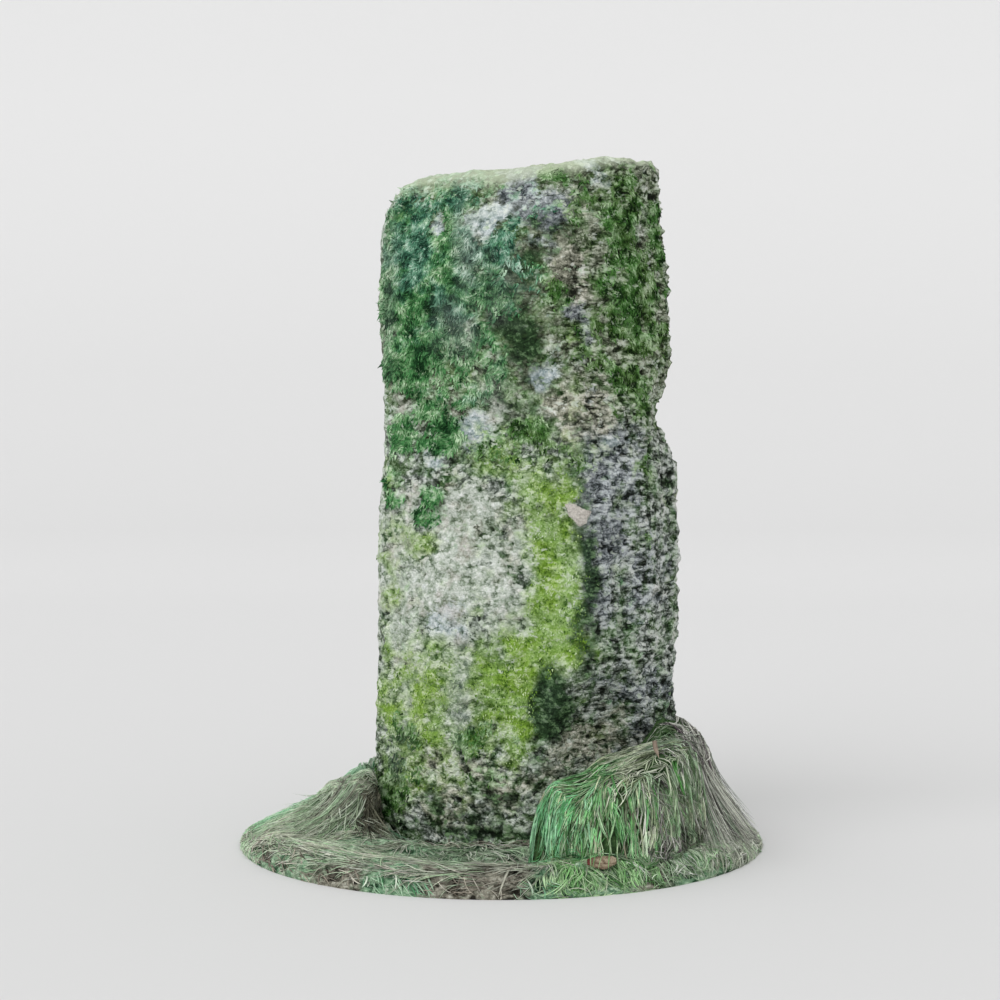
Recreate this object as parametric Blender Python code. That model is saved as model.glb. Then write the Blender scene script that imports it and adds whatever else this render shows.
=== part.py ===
"""A weathered standing stone set in a round of turf, with grass tussocks round its foot.

Units are metres and +Z is up. The origin is the centre of the turf's flat underside.
The front is -Y: the stone's broad face looks to the front left, its narrow face to the
front right, and the arris between them runs up the front.
The stone passes through the turf and is cut off flat with it at z = 0.
"""

import math

import bmesh
import bpy
from mathutils import Vector, noise
from mathutils.bvhtree import BVHTree

# --- Driving dimensions -------------------------------------------------------------

STONE_HEIGHT = 1.418  # middle of the top, above the turf's underside
TURF_RADIUS = 0.55
GAP = 0.0004  # clearance between neighbouring pieces
CUT_BELOW = 0.02  # how far a cutter runs on below the flat underside

# The four upright edges of the stone, as (height, x, y) from the foot to the top.
LEFT_EDGE = [
    (0.00, -0.266, 0.020),
    (0.20, -0.273, 0.015),
    (0.40, -0.265, 0.010),
    (0.66, -0.265, 0.025),
    (0.86, -0.250, 0.020),
    (1.00, -0.254, 0.010),
    (1.14, -0.265, 0.020),
    (1.25, -0.257, 0.030),
    (1.42, -0.250, 0.030),
]
FRONT_EDGE = [
    (0.00, 0.075, -0.205),
    (0.15, 0.070, -0.205),
    (0.27, 0.100, -0.205),
    (0.37, 0.158, -0.215),
    (0.55, 0.178, -0.220),
    (0.72, 0.160, -0.210),
    (0.90, 0.135, -0.200),
    (1.15, 0.108, -0.185),
    (1.32, 0.135, -0.175),
    (1.42, 0.190, -0.150),
]
RIGHT_EDGE = [
    (0.00, 0.375, 0.050),
    (0.20, 0.384, 0.050),
    (0.36, 0.372, 0.065),
    (0.50, 0.382, 0.060),
    (0.70, 0.376, 0.050),
    (0.83, 0.366, 0.060),
    (0.88, 0.341, 0.070),
    (0.915, 0.328, 0.070),
    (0.95, 0.344, 0.065),
    (1.00, 0.361, 0.060),
    (1.14, 0.363, 0.060),
    (1.28, 0.347, 0.055),
    (1.42, 0.330, 0.050),
]
BACK_EDGE = [
    (0.00, -0.040, 0.300),
    (0.30, -0.055, 0.290),
    (0.60, -0.030, 0.285),
    (0.86, -0.020, 0.290),
    (0.97, 0.000, 0.255),
    (1.20, -0.015, 0.245),
    (1.42, 0.010, 0.225),
]

# How tightly each upright edge is rounded, in the order left, front, right, back.
EDGE_RADII = (0.100, 0.060, 0.090, 0.095)
# How far the rounding of the top reaches down at each of those edges.
SHOULDER_RADII = (0.120, 0.050, 0.022, 0.060)
SIDE_BULGE = 0.016  # outward crown in the middle of each face
FOOT_FLARE = 0.012

POINTS_PER_SIDE = 8
POINTS_PER_CORNER = 4
BODY_LEVELS = 37
SHOULDER_ANGLES = (18, 36, 54, 72, 90)  # degrees round the shoulder
TOP_SHRINKS = (0.72, 0.40)  # rings that close the top

TOP_CLIMB = 0.080  # rise of the top per metre to the right
TOP_FALL = 0.050  # fall of the top per metre to the back
TOP_LUMPS = (0.008, 0.130)  # swing and spacing
HORN = (0.31, 0.03, 0.035, 0.050, 0.010)  # x, y, reach x, reach y and rise of its corner

# Relief of the weathered faces: swing in or out, spacing across, spacing up, shift.
RELIEF_LAYERS = {
    "broad_lumps": (0.0120, 0.260, 0.260, 0.0),
    "knobs": (0.0090, 0.115, 0.115, 4.7),
    "beds": (0.0055, 0.220, 0.065, 9.1),
}
DENT_EDGE = 1.4  # how quickly a hollow ends at its reach

# Hollows (+) and swellings (-) in the stone: centre x, y, z, then reach, height, depth.
DENTS = {
    "waist_notch": (0.330, 0.060, 0.915, 0.120, 0.045, 0.012),
    "recess_by_arris": (0.225, -0.110, 0.560, 0.060, 0.220, 0.020),
    "foot_recess": (0.180, -0.120, 0.280, 0.075, 0.120, 0.022),
    "front_bed_crack": (-0.060, -0.120, 0.700, 0.200, 0.022, 0.007),
    "low_bed_crack": (-0.020, -0.150, 0.270, 0.170, 0.020, 0.009),
    "belly": (-0.100, -0.080, 0.480, 0.190, 0.240, -0.012),
    "upper_scoop": (-0.070, -0.080, 0.930, 0.150, 0.170, 0.011),
    "brow": (-0.080, -0.080, 1.230, 0.180, 0.120, -0.007),
    "back_spall": (0.130, 0.200, 1.100, 0.180, 0.190, 0.022),
    "back_ledge": (0.150, 0.180, 0.560, 0.170, 0.030, 0.014),
    "back_left_scoop": (-0.160, 0.180, 0.700, 0.130, 0.240, 0.016),
    "back_left_bed": (-0.160, 0.170, 0.330, 0.180, 0.026, 0.012),
}

# Height of the ground at stations going in from the rim, for the banks at the sides and
# back and for the front, where a steep lip rises before the hollow at the stone's foot.
BANK = [
    (0.000, 0.010),
    (0.020, 0.020),
    (0.063, 0.044),
    (0.126, 0.072),
    (0.200, 0.100),
    (0.300, 0.112),
]
FRONT = [
    (0.000, 0.010),
    (0.008, 0.033),
    (0.024, 0.050),
    (0.060, 0.056),
    (0.130, 0.038),
    (0.220, 0.014),
]
FRONT_ENDS, BANKS_START = -0.34, -0.06  # y where the one passes into the other
THINNEST = 0.011  # of the turf, in the hollow
HOLLOW_ROUNDING = 0.008  # how softly the ground levels out there
CALM_RIM = 0.08  # width of the rim that no swelling reaches
GROUND_LUMPS = (0.007, 0.085)  # swing and spacing
SWELL_EDGE = 1.4  # how quickly a swelling ends at its reach
# Swellings of the ground: centre x, y, reach along x and y, height.
GROUND_SWELLS = {
    "right_bank": (0.33, 0.06, 0.12, 0.24, 0.060),
    "left_bank": (-0.280, 0.060, 0.068, 0.150, 0.046),
    "back_knoll": (0.06, 0.36, 0.20, 0.10, 0.020),
    "left_foot_hollow": (-0.205, -0.065, 0.115, 0.090, -0.110),
    "front_foot_hollow": (-0.060, -0.120, 0.160, 0.110, -0.070),
}
TURF_SPOKES = 72
TURF_RINGS = (0.10, 0.19, 0.25, 0.30, 0.345, 0.39, 0.43, 0.465, 0.495, 0.519, 0.537, 0.547, 0.55)

# Tussocks: centre x, y, reach x and y, turn (degrees), crown height, slope of the crown
# along x, number of hanging locks, squareness of the plan (2 is an ellipse) and of the
# flanks.
TUSSOCKS = {
    "green_tussock": (0.238, -0.262, 0.158, 0.192, -27, 0.232, 0.34, 14, 2.8, 9.0),
    "dry_tussock": (0.354, -0.015, 0.108, 0.238, -12, 0.266, -0.40, 12, 2.1, 4.5),
    "left_tussock": (-0.326, -0.020, 0.078, 0.096, 12, 0.150, 0.45, 9, 2.2, 4.5),
}
TUSSOCK_PROFILE = (0.34, 0.62, 0.80, 0.91, 0.97, 1.0)
LOCK_DEPTH = 0.05  # of the tussock's reach
FLANK_CURVE = 0.55
CROWN_LUMPS = (0.010, 0.070)  # swing and spacing

LEAF_CENTRE = (0.192, -0.485)
LEAF_LENGTH = 0.056
LEAF_WIDTH = 0.034
LEAF_THICKNESS = 0.0016
LEAF_SKEW = 0.012  # how far its tip lies further back than its stalk end
LEAF_CURL = 0.007  # lift of its sides
LEAF_TIP_LIFT = 0.004
LEAF_STATIONS, LEAF_STRIPS = 9, 4


# --- Small helpers ------------------------------------------------------------------


def smoothstep(low, high, value):
    t = min(max((value - low) / (high - low), 0.0), 1.0)
    return t * t * (3.0 - 2.0 * t)


def curve_at(stations, place):
    """The values at a place, on a smooth curve through (place, value, ...) stations."""
    last = len(stations) - 1
    if place <= stations[0][0]:
        return stations[0][1:]
    if place >= stations[last][0]:
        return stations[last][1:]
    k = max(i for i in range(last) if stations[i][0] <= place)
    before, low = stations[max(k - 1, 0)], stations[k]
    high, after = stations[k + 1], stations[min(k + 2, last)]
    span = high[0] - low[0]
    t = (place - low[0]) / span
    found = []
    for axis in range(1, len(low)):
        slope_low = (high[axis] - before[axis]) / (high[0] - before[0]) * span
        slope_high = (after[axis] - low[axis]) / (after[0] - low[0]) * span
        found.append(
            (2 * t**3 - 3 * t**2 + 1) * low[axis]
            + (t**3 - 2 * t**2 + t) * slope_low
            + (3 * t**2 - 2 * t**3) * high[axis]
            + (t**3 - t**2) * slope_high
        )
    return tuple(found)


def new_material(name, colour, roughness):
    material = bpy.data.materials.new(name)
    material.use_nodes = True
    shader = material.node_tree.nodes["Principled BSDF"]
    shader.inputs["Base Color"].default_value = (*colour, 1.0)
    shader.inputs["Roughness"].default_value = roughness
    shader.inputs["Metallic"].default_value = 0.0
    return material


def new_object(name, mesh, material=None):
    piece = bpy.data.objects.new(name, mesh)
    bpy.context.scene.collection.objects.link(piece)
    if material:
        mesh.materials.append(material)
    return piece


def shade(mesh, sharp_degrees):
    mesh.shade_smooth()
    mesh.set_sharp_from_angle(angle=math.radians(sharp_degrees))


def mesh_from_rings(name, rings):
    """Bridges closed rings of equal length with triangles, and caps both ends.

    A piece and its cutter are split along the same diagonals, so their gap stays even.
    """
    bm = bmesh.new()
    loops = [[bm.verts.new(point) for point in ring] for ring in rings]
    count = len(loops[0])
    for lower, upper in zip(loops, loops[1:]):
        for i in range(count):
            j = (i + 1) % count
            bm.faces.new((lower[i], lower[j], upper[j]))
            bm.faces.new((lower[i], upper[j], upper[i]))
    bm.faces.new(reversed(loops[0]))
    hub = bm.verts.new(sum((v.co for v in loops[-1]), Vector()) / count)
    for i in range(count):
        bm.faces.new((loops[-1][i], loops[-1][(i + 1) % count], hub))
    bmesh.ops.recalc_face_normals(bm, faces=bm.faces)
    mesh = bpy.data.meshes.new(name)
    bm.to_mesh(mesh)
    bm.free()
    return mesh


def hidden_cutter(name, mesh, swell_by=0.0):
    """A mesh to cut others with, its skin moved outwards along its normals."""
    normals = [Vector(normal.vector) for normal in mesh.vertex_normals]
    for vertex, normal in zip(mesh.vertices, normals):
        vertex.co += normal * swell_by
    cutter = new_object(name, mesh)
    cutter.hide_render = True
    cutter.display_type = "WIRE"
    return cutter


def cut(piece, *cutters):
    for cutter in cutters:
        modifier = piece.modifiers.new("Cut by " + cutter.name, "BOOLEAN")
        modifier.operation = "DIFFERENCE"
        modifier.solver = "EXACT"
        modifier.object = cutter


# --- The stone ----------------------------------------------------------------------


def rounded_section(corners, radii):
    """Points round a four-sided section, the same number on each side and corner."""
    points = []
    for k in range(4):
        corner, ahead, behind = corners[k], corners[(k + 1) % 4], corners[k - 1]
        into, out = (corner - behind).normalized(), (ahead - corner).normalized()
        reach = radii[k]
        start, end = corner - into * reach, corner + out * reach
        for i in range(POINTS_PER_CORNER):
            t = i / POINTS_PER_CORNER
            points.append(start * (1 - t) ** 2 + corner * 2 * t * (1 - t) + end * t**2)
        next_start = ahead - out * radii[(k + 1) % 4]
        outward = Vector((out.y, -out.x, 0.0))
        for i in range(POINTS_PER_SIDE):
            t = i / POINTS_PER_SIDE
            crown = SIDE_BULGE * math.sin(math.pi * t)
            points.append(end.lerp(next_start, t) + outward * crown)
    return points


def corner_blend(values):
    """A value for every point round the section, blended between the four corners."""
    stride = POINTS_PER_SIDE + POINTS_PER_CORNER
    found = []
    for i in range(4 * stride):
        place = (i - POINTS_PER_CORNER / 2) / stride
        k, t = math.floor(place), place - math.floor(place)
        found.append(values[k % 4] + (values[(k + 1) % 4] - values[k % 4]) * smoothstep(0, 1, t))
    return found


def stone_relief(point):
    """How far the weathered face stands out (+) or in (-) at a point."""
    relief = 0.0
    for swing, across, up, shift in RELIEF_LAYERS.values():
        sample = Vector((point.x / across, point.y / across, point.z / up))
        relief += swing * noise.noise(sample + Vector((shift, shift, shift)))
    for x, y, z, reach, height, depth in DENTS.values():
        flat = ((point.x - x) ** 2 + (point.y - y) ** 2) / reach**2
        far = flat + ((point.z - z) / height) ** 2
        relief -= depth * math.exp(-DENT_EDGE * far * far)
    return relief


def top_height(point):
    """The weathered top, which climbs from the left to the right."""
    climb = TOP_CLIMB * point.x - TOP_FALL * max(point.y, 0.0)
    x, y, reach_x, reach_y, rise = HORN
    horn = rise * math.exp(-(((point.x - x) / reach_x) ** 2) - ((point.y - y) / reach_y) ** 2)
    swing, spacing = TOP_LUMPS
    lumps = swing * noise.noise(Vector((point.x, point.y, 0.0)) / spacing)
    return STONE_HEIGHT + climb + horn + lumps


def stone_section(share):
    """The ring at a share of the way up to the shoulder, as wide as its edges say."""
    edges = (LEFT_EDGE, FRONT_EDGE, RIGHT_EDGE, BACK_EDGE)
    corners = []
    for edge, shoulder in zip(edges, SHOULDER_RADII):
        height = share * (top_height(Vector((*edge[-1][1:], 0.0))) - shoulder)
        corners.append(Vector((*curve_at(edge, height), height)))
    points = rounded_section(corners, EDGE_RADII)
    centre = sum(points, Vector()) / len(points)
    flare = FOOT_FLARE * (1.0 - smoothstep(0.0, 0.25, centre.z))
    for i, point in enumerate(points):
        outward = (point - centre) * Vector((1, 1, 0))
        points[i] = point + outward.normalized() * (stone_relief(point) + flare)
    left, right = corners[0].x - flare, corners[2].x + flare
    low, high = min(p.x for p in points), max(p.x for p in points)
    for point in points:
        point.x = left + (point.x - low) * (right - left) / (high - low)
    return points


def stone_rings():
    shoulders = corner_blend(SHOULDER_RADII)
    rings = [stone_section(level / BODY_LEVELS) for level in range(BODY_LEVELS + 1)]
    edge = rings[-1]
    centre = sum(edge, Vector()) / len(edge)
    for degrees in SHOULDER_ANGLES:
        turn = math.radians(degrees)
        ring = []
        for point, shoulder in zip(edge, shoulders):
            inward = Vector((centre.x - point.x, centre.y - point.y, 0)).normalized()
            moved = point + inward * shoulder * (1 - math.cos(turn))
            moved.z = point.z + shoulder * math.sin(turn)
            ring.append(moved)
        rings.append(ring)
    brim = rings[-1]
    for shrink in TOP_SHRINKS:
        ring = []
        for point in brim:
            flat = Vector((centre.x, centre.y, 0)).lerp(point, shrink)
            ring.append(Vector((flat.x, flat.y, top_height(flat))))
        rings.append(ring)
    return rings


def make_stone(rings):
    mesh = mesh_from_rings("stone", rings)
    shade(mesh, 38)
    return new_object("stone", mesh, new_material("mossy granite", (0.20, 0.26, 0.13), 0.92))


def make_stone_cutter(rings):
    """The stone with clearance, running on below its flat foot to cut right through."""
    below = [point - Vector((0, 0, CUT_BELOW)) for point in rings[0]]
    return hidden_cutter("stone_cutter", mesh_from_rings("stone_cutter", [below, *rings]), GAP)


# --- The turf -----------------------------------------------------------------------


def swell(x, y, centre_x, centre_y, reach_x, reach_y):
    far = ((x - centre_x) / reach_x) ** 2 + ((y - centre_y) / reach_y) ** 2
    return math.exp(-(far**SWELL_EDGE))


def ground_height(x, y):
    """Top of the turf: a lip and a hollow in front, banks at the sides and behind."""
    inward = max(TURF_RADIUS - math.hypot(x, y), 0.0)
    (bank,), (front,) = curve_at(BANK, inward), curve_at(FRONT, inward)
    height = front + (bank - front) * smoothstep(FRONT_ENDS, BANKS_START, y)
    inside = smoothstep(0.0, CALM_RIM, inward)
    for centre_x, centre_y, reach_x, reach_y, rise in GROUND_SWELLS.values():
        height += inside * rise * swell(x, y, centre_x, centre_y, reach_x, reach_y)
    swing, spacing = GROUND_LUMPS
    height += inside * swing * noise.noise(Vector((x, y, 0.0)) / spacing)
    floor = THINNEST * inside
    return floor + 0.5 * (height - floor + math.hypot(height - floor, HOLLOW_ROUNDING))


def turf_point(radius, turn, lift=0.0):
    x, y = radius * math.cos(turn), radius * math.sin(turn)
    return Vector((x, y, ground_height(x, y) + lift))


def turf_mesh(name, lift=0.0, floor=0.0):
    turns = [2 * math.pi * i / TURF_SPOKES for i in range(TURF_SPOKES)]
    rim = TURF_RINGS[-1]
    underside = [Vector((rim * math.cos(t), rim * math.sin(t), floor)) for t in turns]
    rings = [underside]
    rings += [[turf_point(radius, t, lift) for t in turns] for radius in reversed(TURF_RINGS)]
    return mesh_from_rings(name, rings)


def make_turf(stone_cutter):
    mesh = turf_mesh("turf")
    shade(mesh, 40)
    turf = new_object("turf", mesh, new_material("matted turf", (0.12, 0.17, 0.07), 0.95))
    cut(turf, stone_cutter)
    return turf


# --- Tussocks and leaf --------------------------------------------------------------


def tussock_rings(
    centre_x, centre_y, reach_x, reach_y, turn, crown, slope, locks, squareness, crown_edge
):
    """A flat-topped dome whose flanks are fluted like hanging locks of grass."""
    count = 4 * locks
    turned = math.radians(turn)
    swing, spacing = CROWN_LUMPS
    rings = []
    for share in reversed(TUSSOCK_PROFILE):
        ring = []
        for i in range(count):
            angle = 2 * math.pi * i / count
            cosine, sine = math.cos(angle), math.sin(angle)
            flute = 1 + LOCK_DEPTH * share**3 * math.cos(locks * angle + 2 * math.sin(2 * angle))
            square = (abs(cosine) ** squareness + abs(sine) ** squareness) ** (1 / squareness)
            along_x = reach_x * share * flute * cosine / square
            along_y = reach_y * share * flute * sine / square
            x = centre_x + along_x * math.cos(turned) - along_y * math.sin(turned)
            y = centre_y + along_x * math.sin(turned) + along_y * math.cos(turned)
            dome = (1 - share**crown_edge) ** FLANK_CURVE
            top = crown + slope * (x - centre_x)
            top += swing * noise.noise(Vector((x, y, 0.0)) / spacing)
            ring.append(Vector((x, y, top * dome)))
        rings.append(ring)
    return rings


def make_tussock(name, shape, material, cutters):
    mesh = mesh_from_rings(name, tussock_rings(*shape))
    shade(mesh, 50)
    tussock = new_object(name, mesh, material)
    cut(tussock, *cutters)
    return tussock


def leaf_point(i, k, ground):
    """The underside of the leaf at a station along it and a strip across it."""
    along = i / (LEAF_STATIONS - 1)
    aside = 2 * k / LEAF_STRIPS - 1
    half_width = 0.5 * LEAF_WIDTH * math.sin(math.pi * (0.06 + 0.91 * along)) ** 0.7
    x = LEAF_CENTRE[0] + (along - 0.5) * LEAF_LENGTH
    y = LEAF_CENTRE[1] + aside * half_width + (along - 0.5) * LEAF_SKEW
    below, _, _, _ = ground.ray_cast(Vector((x, y, STONE_HEIGHT)), Vector((0, 0, -1)))
    lift = 2 * GAP + LEAF_CURL * aside**2 + LEAF_TIP_LIFT * along**2
    return below + Vector((0, 0, lift))


def make_leaf(turf, material):
    """A dead leaf with a pointed tip, its sides curled up, lying on the turf."""
    skin = turf.data
    corners = [vertex.co for vertex in skin.vertices]
    ground = BVHTree.FromPolygons(corners, [tuple(face.vertices) for face in skin.polygons])
    bm = bmesh.new()
    width = LEAF_STRIPS + 1
    under = [
        bm.verts.new(leaf_point(i, k, ground)) for i in range(LEAF_STATIONS) for k in range(width)
    ]
    top = [bm.verts.new(v.co + Vector((0, 0, LEAF_THICKNESS))) for v in under]
    for sheet in (top, under):
        for i in range(LEAF_STATIONS - 1):
            for k in range(LEAF_STRIPS):
                a = i * width + k
                bm.faces.new((sheet[a], sheet[a + 1], sheet[a + width + 1], sheet[a + width]))
    last = (LEAF_STATIONS - 1) * width
    rim = list(range(width))
    rim += [i * width + LEAF_STRIPS for i in range(1, LEAF_STATIONS)]
    rim += [last + k for k in range(LEAF_STRIPS - 1, -1, -1)]
    rim += [i * width for i in range(LEAF_STATIONS - 2, 0, -1)]
    for a, b in zip(rim, rim[1:] + rim[:1]):
        bm.faces.new((top[a], top[b], under[b], under[a]))
    bmesh.ops.recalc_face_normals(bm, faces=bm.faces)
    mesh = bpy.data.meshes.new("fallen_leaf")
    bm.to_mesh(mesh)
    bm.free()
    shade(mesh, 50)
    return new_object("fallen_leaf", mesh, material)


# --- Assembly -----------------------------------------------------------------------


def clear_scene():
    for piece in list(bpy.data.objects):
        bpy.data.objects.remove(piece, do_unlink=True)


def build():
    clear_scene()
    rings = stone_rings()
    make_stone(rings)
    stone_cutter = make_stone_cutter(rings)
    turf = make_turf(stone_cutter)
    turf_cutter = hidden_cutter("turf_cutter", turf_mesh("turf_cutter", 2 * GAP, -CUT_BELOW))
    grass = new_material("green grass", (0.10, 0.28, 0.10), 0.80)
    straw = new_material("dry grass", (0.30, 0.27, 0.20), 0.85)
    cutters = [stone_cutter, turf_cutter]
    finishes = {"green_tussock": grass, "dry_tussock": straw, "left_tussock": straw}
    for name, shape in TUSSOCKS.items():
        tussock = make_tussock(name, shape, finishes[name], cutters)
        neighbour = hidden_cutter(name + "_cutter", tussock.data.copy(), 2 * GAP)
        cutters = [*cutters, neighbour]
    make_leaf(turf, new_material("dead leaf", (0.30, 0.12, 0.07), 0.70))


build()
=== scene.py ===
# %% [markdown]
# # A standing stone in a round of turf
#
# A small standing stone is a block of granite set on end in the ground. Over the years
# moss, algae and lichen cover it, and grass grows into tussocks against its foot, where
# nobody mows. Here it comes with a round of its turf, cut out with it.
#
# The solids under it were made and packed first. This script loads them, and every piece
# that follows is measured from them.

# %% The frame
import itertools
import math

import bmesh
import bpy
import numpy as np
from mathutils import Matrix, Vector
from mathutils.bvhtree import BVHTree


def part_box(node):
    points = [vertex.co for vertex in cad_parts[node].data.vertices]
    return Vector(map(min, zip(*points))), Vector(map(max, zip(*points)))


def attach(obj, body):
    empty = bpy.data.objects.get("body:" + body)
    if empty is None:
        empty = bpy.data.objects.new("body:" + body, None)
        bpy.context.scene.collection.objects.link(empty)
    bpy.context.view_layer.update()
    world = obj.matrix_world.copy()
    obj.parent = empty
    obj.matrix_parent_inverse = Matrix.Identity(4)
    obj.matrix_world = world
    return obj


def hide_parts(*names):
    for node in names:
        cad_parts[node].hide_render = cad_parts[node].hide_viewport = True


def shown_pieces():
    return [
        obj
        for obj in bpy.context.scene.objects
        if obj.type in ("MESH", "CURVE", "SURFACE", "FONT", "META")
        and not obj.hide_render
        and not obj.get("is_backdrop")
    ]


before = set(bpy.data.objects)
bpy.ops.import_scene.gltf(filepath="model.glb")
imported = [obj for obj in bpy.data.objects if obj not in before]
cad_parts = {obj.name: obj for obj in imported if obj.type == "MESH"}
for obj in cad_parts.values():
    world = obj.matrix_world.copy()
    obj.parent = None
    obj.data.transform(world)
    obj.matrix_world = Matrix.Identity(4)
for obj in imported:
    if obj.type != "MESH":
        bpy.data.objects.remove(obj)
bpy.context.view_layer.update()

print("solids:", ", ".join(sorted(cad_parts)))

# %% [markdown]
# ## Small helpers
#
# A colour is easiest to judge as an sRGB hex code, but Blender's sockets expect linear
# light, so one function turns the one into the other. A second adds any kind of node,
# with its settings and its links, to any kind of tree, be it a material's or a shape's.

# %% Colours and nodes


def linear(code):
    """An sRGB hex code as linear red, green and blue."""
    parts = [int(code[i : i + 2], 16) / 255 for i in (0, 2, 4)]
    return tuple(p / 12.92 if p <= 0.04045 else ((p + 0.055) / 1.055) ** 2.4 for p in parts)


def join(tree, value, socket):
    """Links a socket from another socket or from a node's first output that is in use.

    Anything else is a number, a direction or a colour, and the socket is set to it.
    """
    if isinstance(value, bpy.types.Node):
        value = next(output for output in value.outputs if output.enabled)
    if isinstance(value, bpy.types.NodeSocket):
        tree.links.new(value, socket)
    else:
        socket.default_value = (*value, 1.0) if socket.type == "RGBA" else value


def add(tree, kind, inputs=None, stops=(), **settings):
    """A new node with its settings, its inputs and, on a colour ramp, its (place, code) stops."""
    node = tree.nodes.new(kind)
    for name, value in settings.items():
        setattr(node, name, value)
    for key, value in (inputs or {}).items():
        in_use = [socket for socket in node.inputs if socket.enabled and socket.name == key]
        join(tree, value, in_use[0] if in_use else node.inputs[key])
    for k in range(2, len(stops)):
        node.color_ramp.elements.new(0.5)
    for k, (position, code) in enumerate(stops):
        node.color_ramp.elements[k].position = position
        node.color_ramp.elements[k].color = (*linear(code), 1.0)
    return node


# %% Meshes as arrays


def shape_of(mesh):
    """Where the points of a mesh are and which way each one faces, as two arrays."""
    found = []
    for items, key in ((mesh.vertices, "co"), (mesh.vertex_normals, "vector")):
        flat = np.empty(3 * len(items), np.float32)
        items.foreach_get(key, flat)
        found.append(flat.reshape(-1, 3).astype(float))
    return found


def move_points(mesh, points):
    mesh.vertices.foreach_set("co", np.asarray(points, np.float32).ravel())
    mesh.update()


def store(mesh, name, values):
    """Keeps one number, or one colour or direction, on each point of a mesh."""
    values = np.asarray(values, np.float32)
    kind, slot = ("FLOAT", "value") if values.ndim == 1 else ("FLOAT_VECTOR", "vector")
    mesh.attributes.new(name, kind, "POINT").data.foreach_set(slot, values.ravel())


def merged_copy(name, node):
    """A copy of a solid whose loose triangles are joined, so that it can be reshaped."""
    bm = bmesh.new()
    bm.from_mesh(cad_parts[node].data)
    bmesh.ops.remove_doubles(bm, verts=bm.verts, dist=0.00001)
    mesh = bpy.data.meshes.new(name)
    bm.to_mesh(mesh)
    bm.free()
    return new_piece(name, mesh)


def new_piece(name, mesh):
    piece = bpy.data.objects.new(name, mesh)
    bpy.context.scene.collection.objects.link(piece)
    return piece


def settle(piece):
    """Turns what the modifiers make into the piece's own plain mesh."""
    graph = bpy.context.evaluated_depsgraph_get()
    mesh = bpy.data.meshes.new_from_object(piece.evaluated_get(graph))
    piece.modifiers.clear()
    old, piece.data = piece.data, mesh
    bpy.data.meshes.remove(old)
    piece.data.name = piece.name
    print(f"{piece.name}: {len(mesh.polygons)} faces, {len(mesh.vertices)} points")
    return piece


# %% [markdown]
# ## Weathering as noise
#
# Stone, lichen and turf are uneven at several sizes at once. Smooth random noise at a
# stated spacing, in metres, gives one of those sizes, and a stack of it, each layer half
# the spacing and a little over half the strength of the last, gives them all. It runs on
# whole arrays, because the stone has a hundred thousand points.

# %% Noise


def smooth_noise(points, spacing, seed):
    """Noise from -1 to 1 that changes over about one spacing."""
    cell = points / np.asarray(spacing)
    base = np.floor(cell).astype(np.int64)
    t = cell - base
    t = t * t * t * (t * (6 * t - 15) + 10)
    total = np.zeros(len(points))
    for corner in itertools.product((0, 1), repeat=3):
        key = base + np.array(corner)
        code = key[:, 0] * 73856093 ^ key[:, 1] * 19349663 ^ key[:, 2] * 83492791
        code = (code + seed * 40503) & 0xFFFFFFFF
        code = ((code ^ (code >> 15)) * 2246822519) & 0xFFFFFFFF
        code = ((code ^ (code >> 13)) * 3266489917) & 0xFFFFFFFF
        value = ((code ^ (code >> 16)) & 0xFFFF) / 32767.5 - 1
        total += value * np.prod(np.where(corner, t, 1 - t), axis=1)
    return total


def layered(points, spacing, seed, layers=4):
    """A stack of smooth noise, from about -1 to 1."""
    total, strength = np.zeros(len(points)), 1.0
    for k in range(layers):
        total += strength * smooth_noise(points, np.asarray(spacing) / 2**k, seed + 17 * k)
        strength *= 0.58
    return total / 1.5


def ramp(low, high, values):
    t = np.clip((values - low) / (high - low), 0, 1)
    return t * t * (3 - 2 * t)


# %% [markdown]
# ## Where things grow
#
# Each growth has its own ground. Deep green moss keeps to the damp upper left of the
# broad face, olive moss to the upper right, a bright lime band follows the run of the
# rain down the arris, and pale crusts of lichen take the dry middle. A patch is a soft
# ellipse on the face: across, up, reach across and reach up, all in millimetres, and its
# strength in per cent. Noise bends its outline and breaks it into islands, so that no
# ellipse shows.

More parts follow.
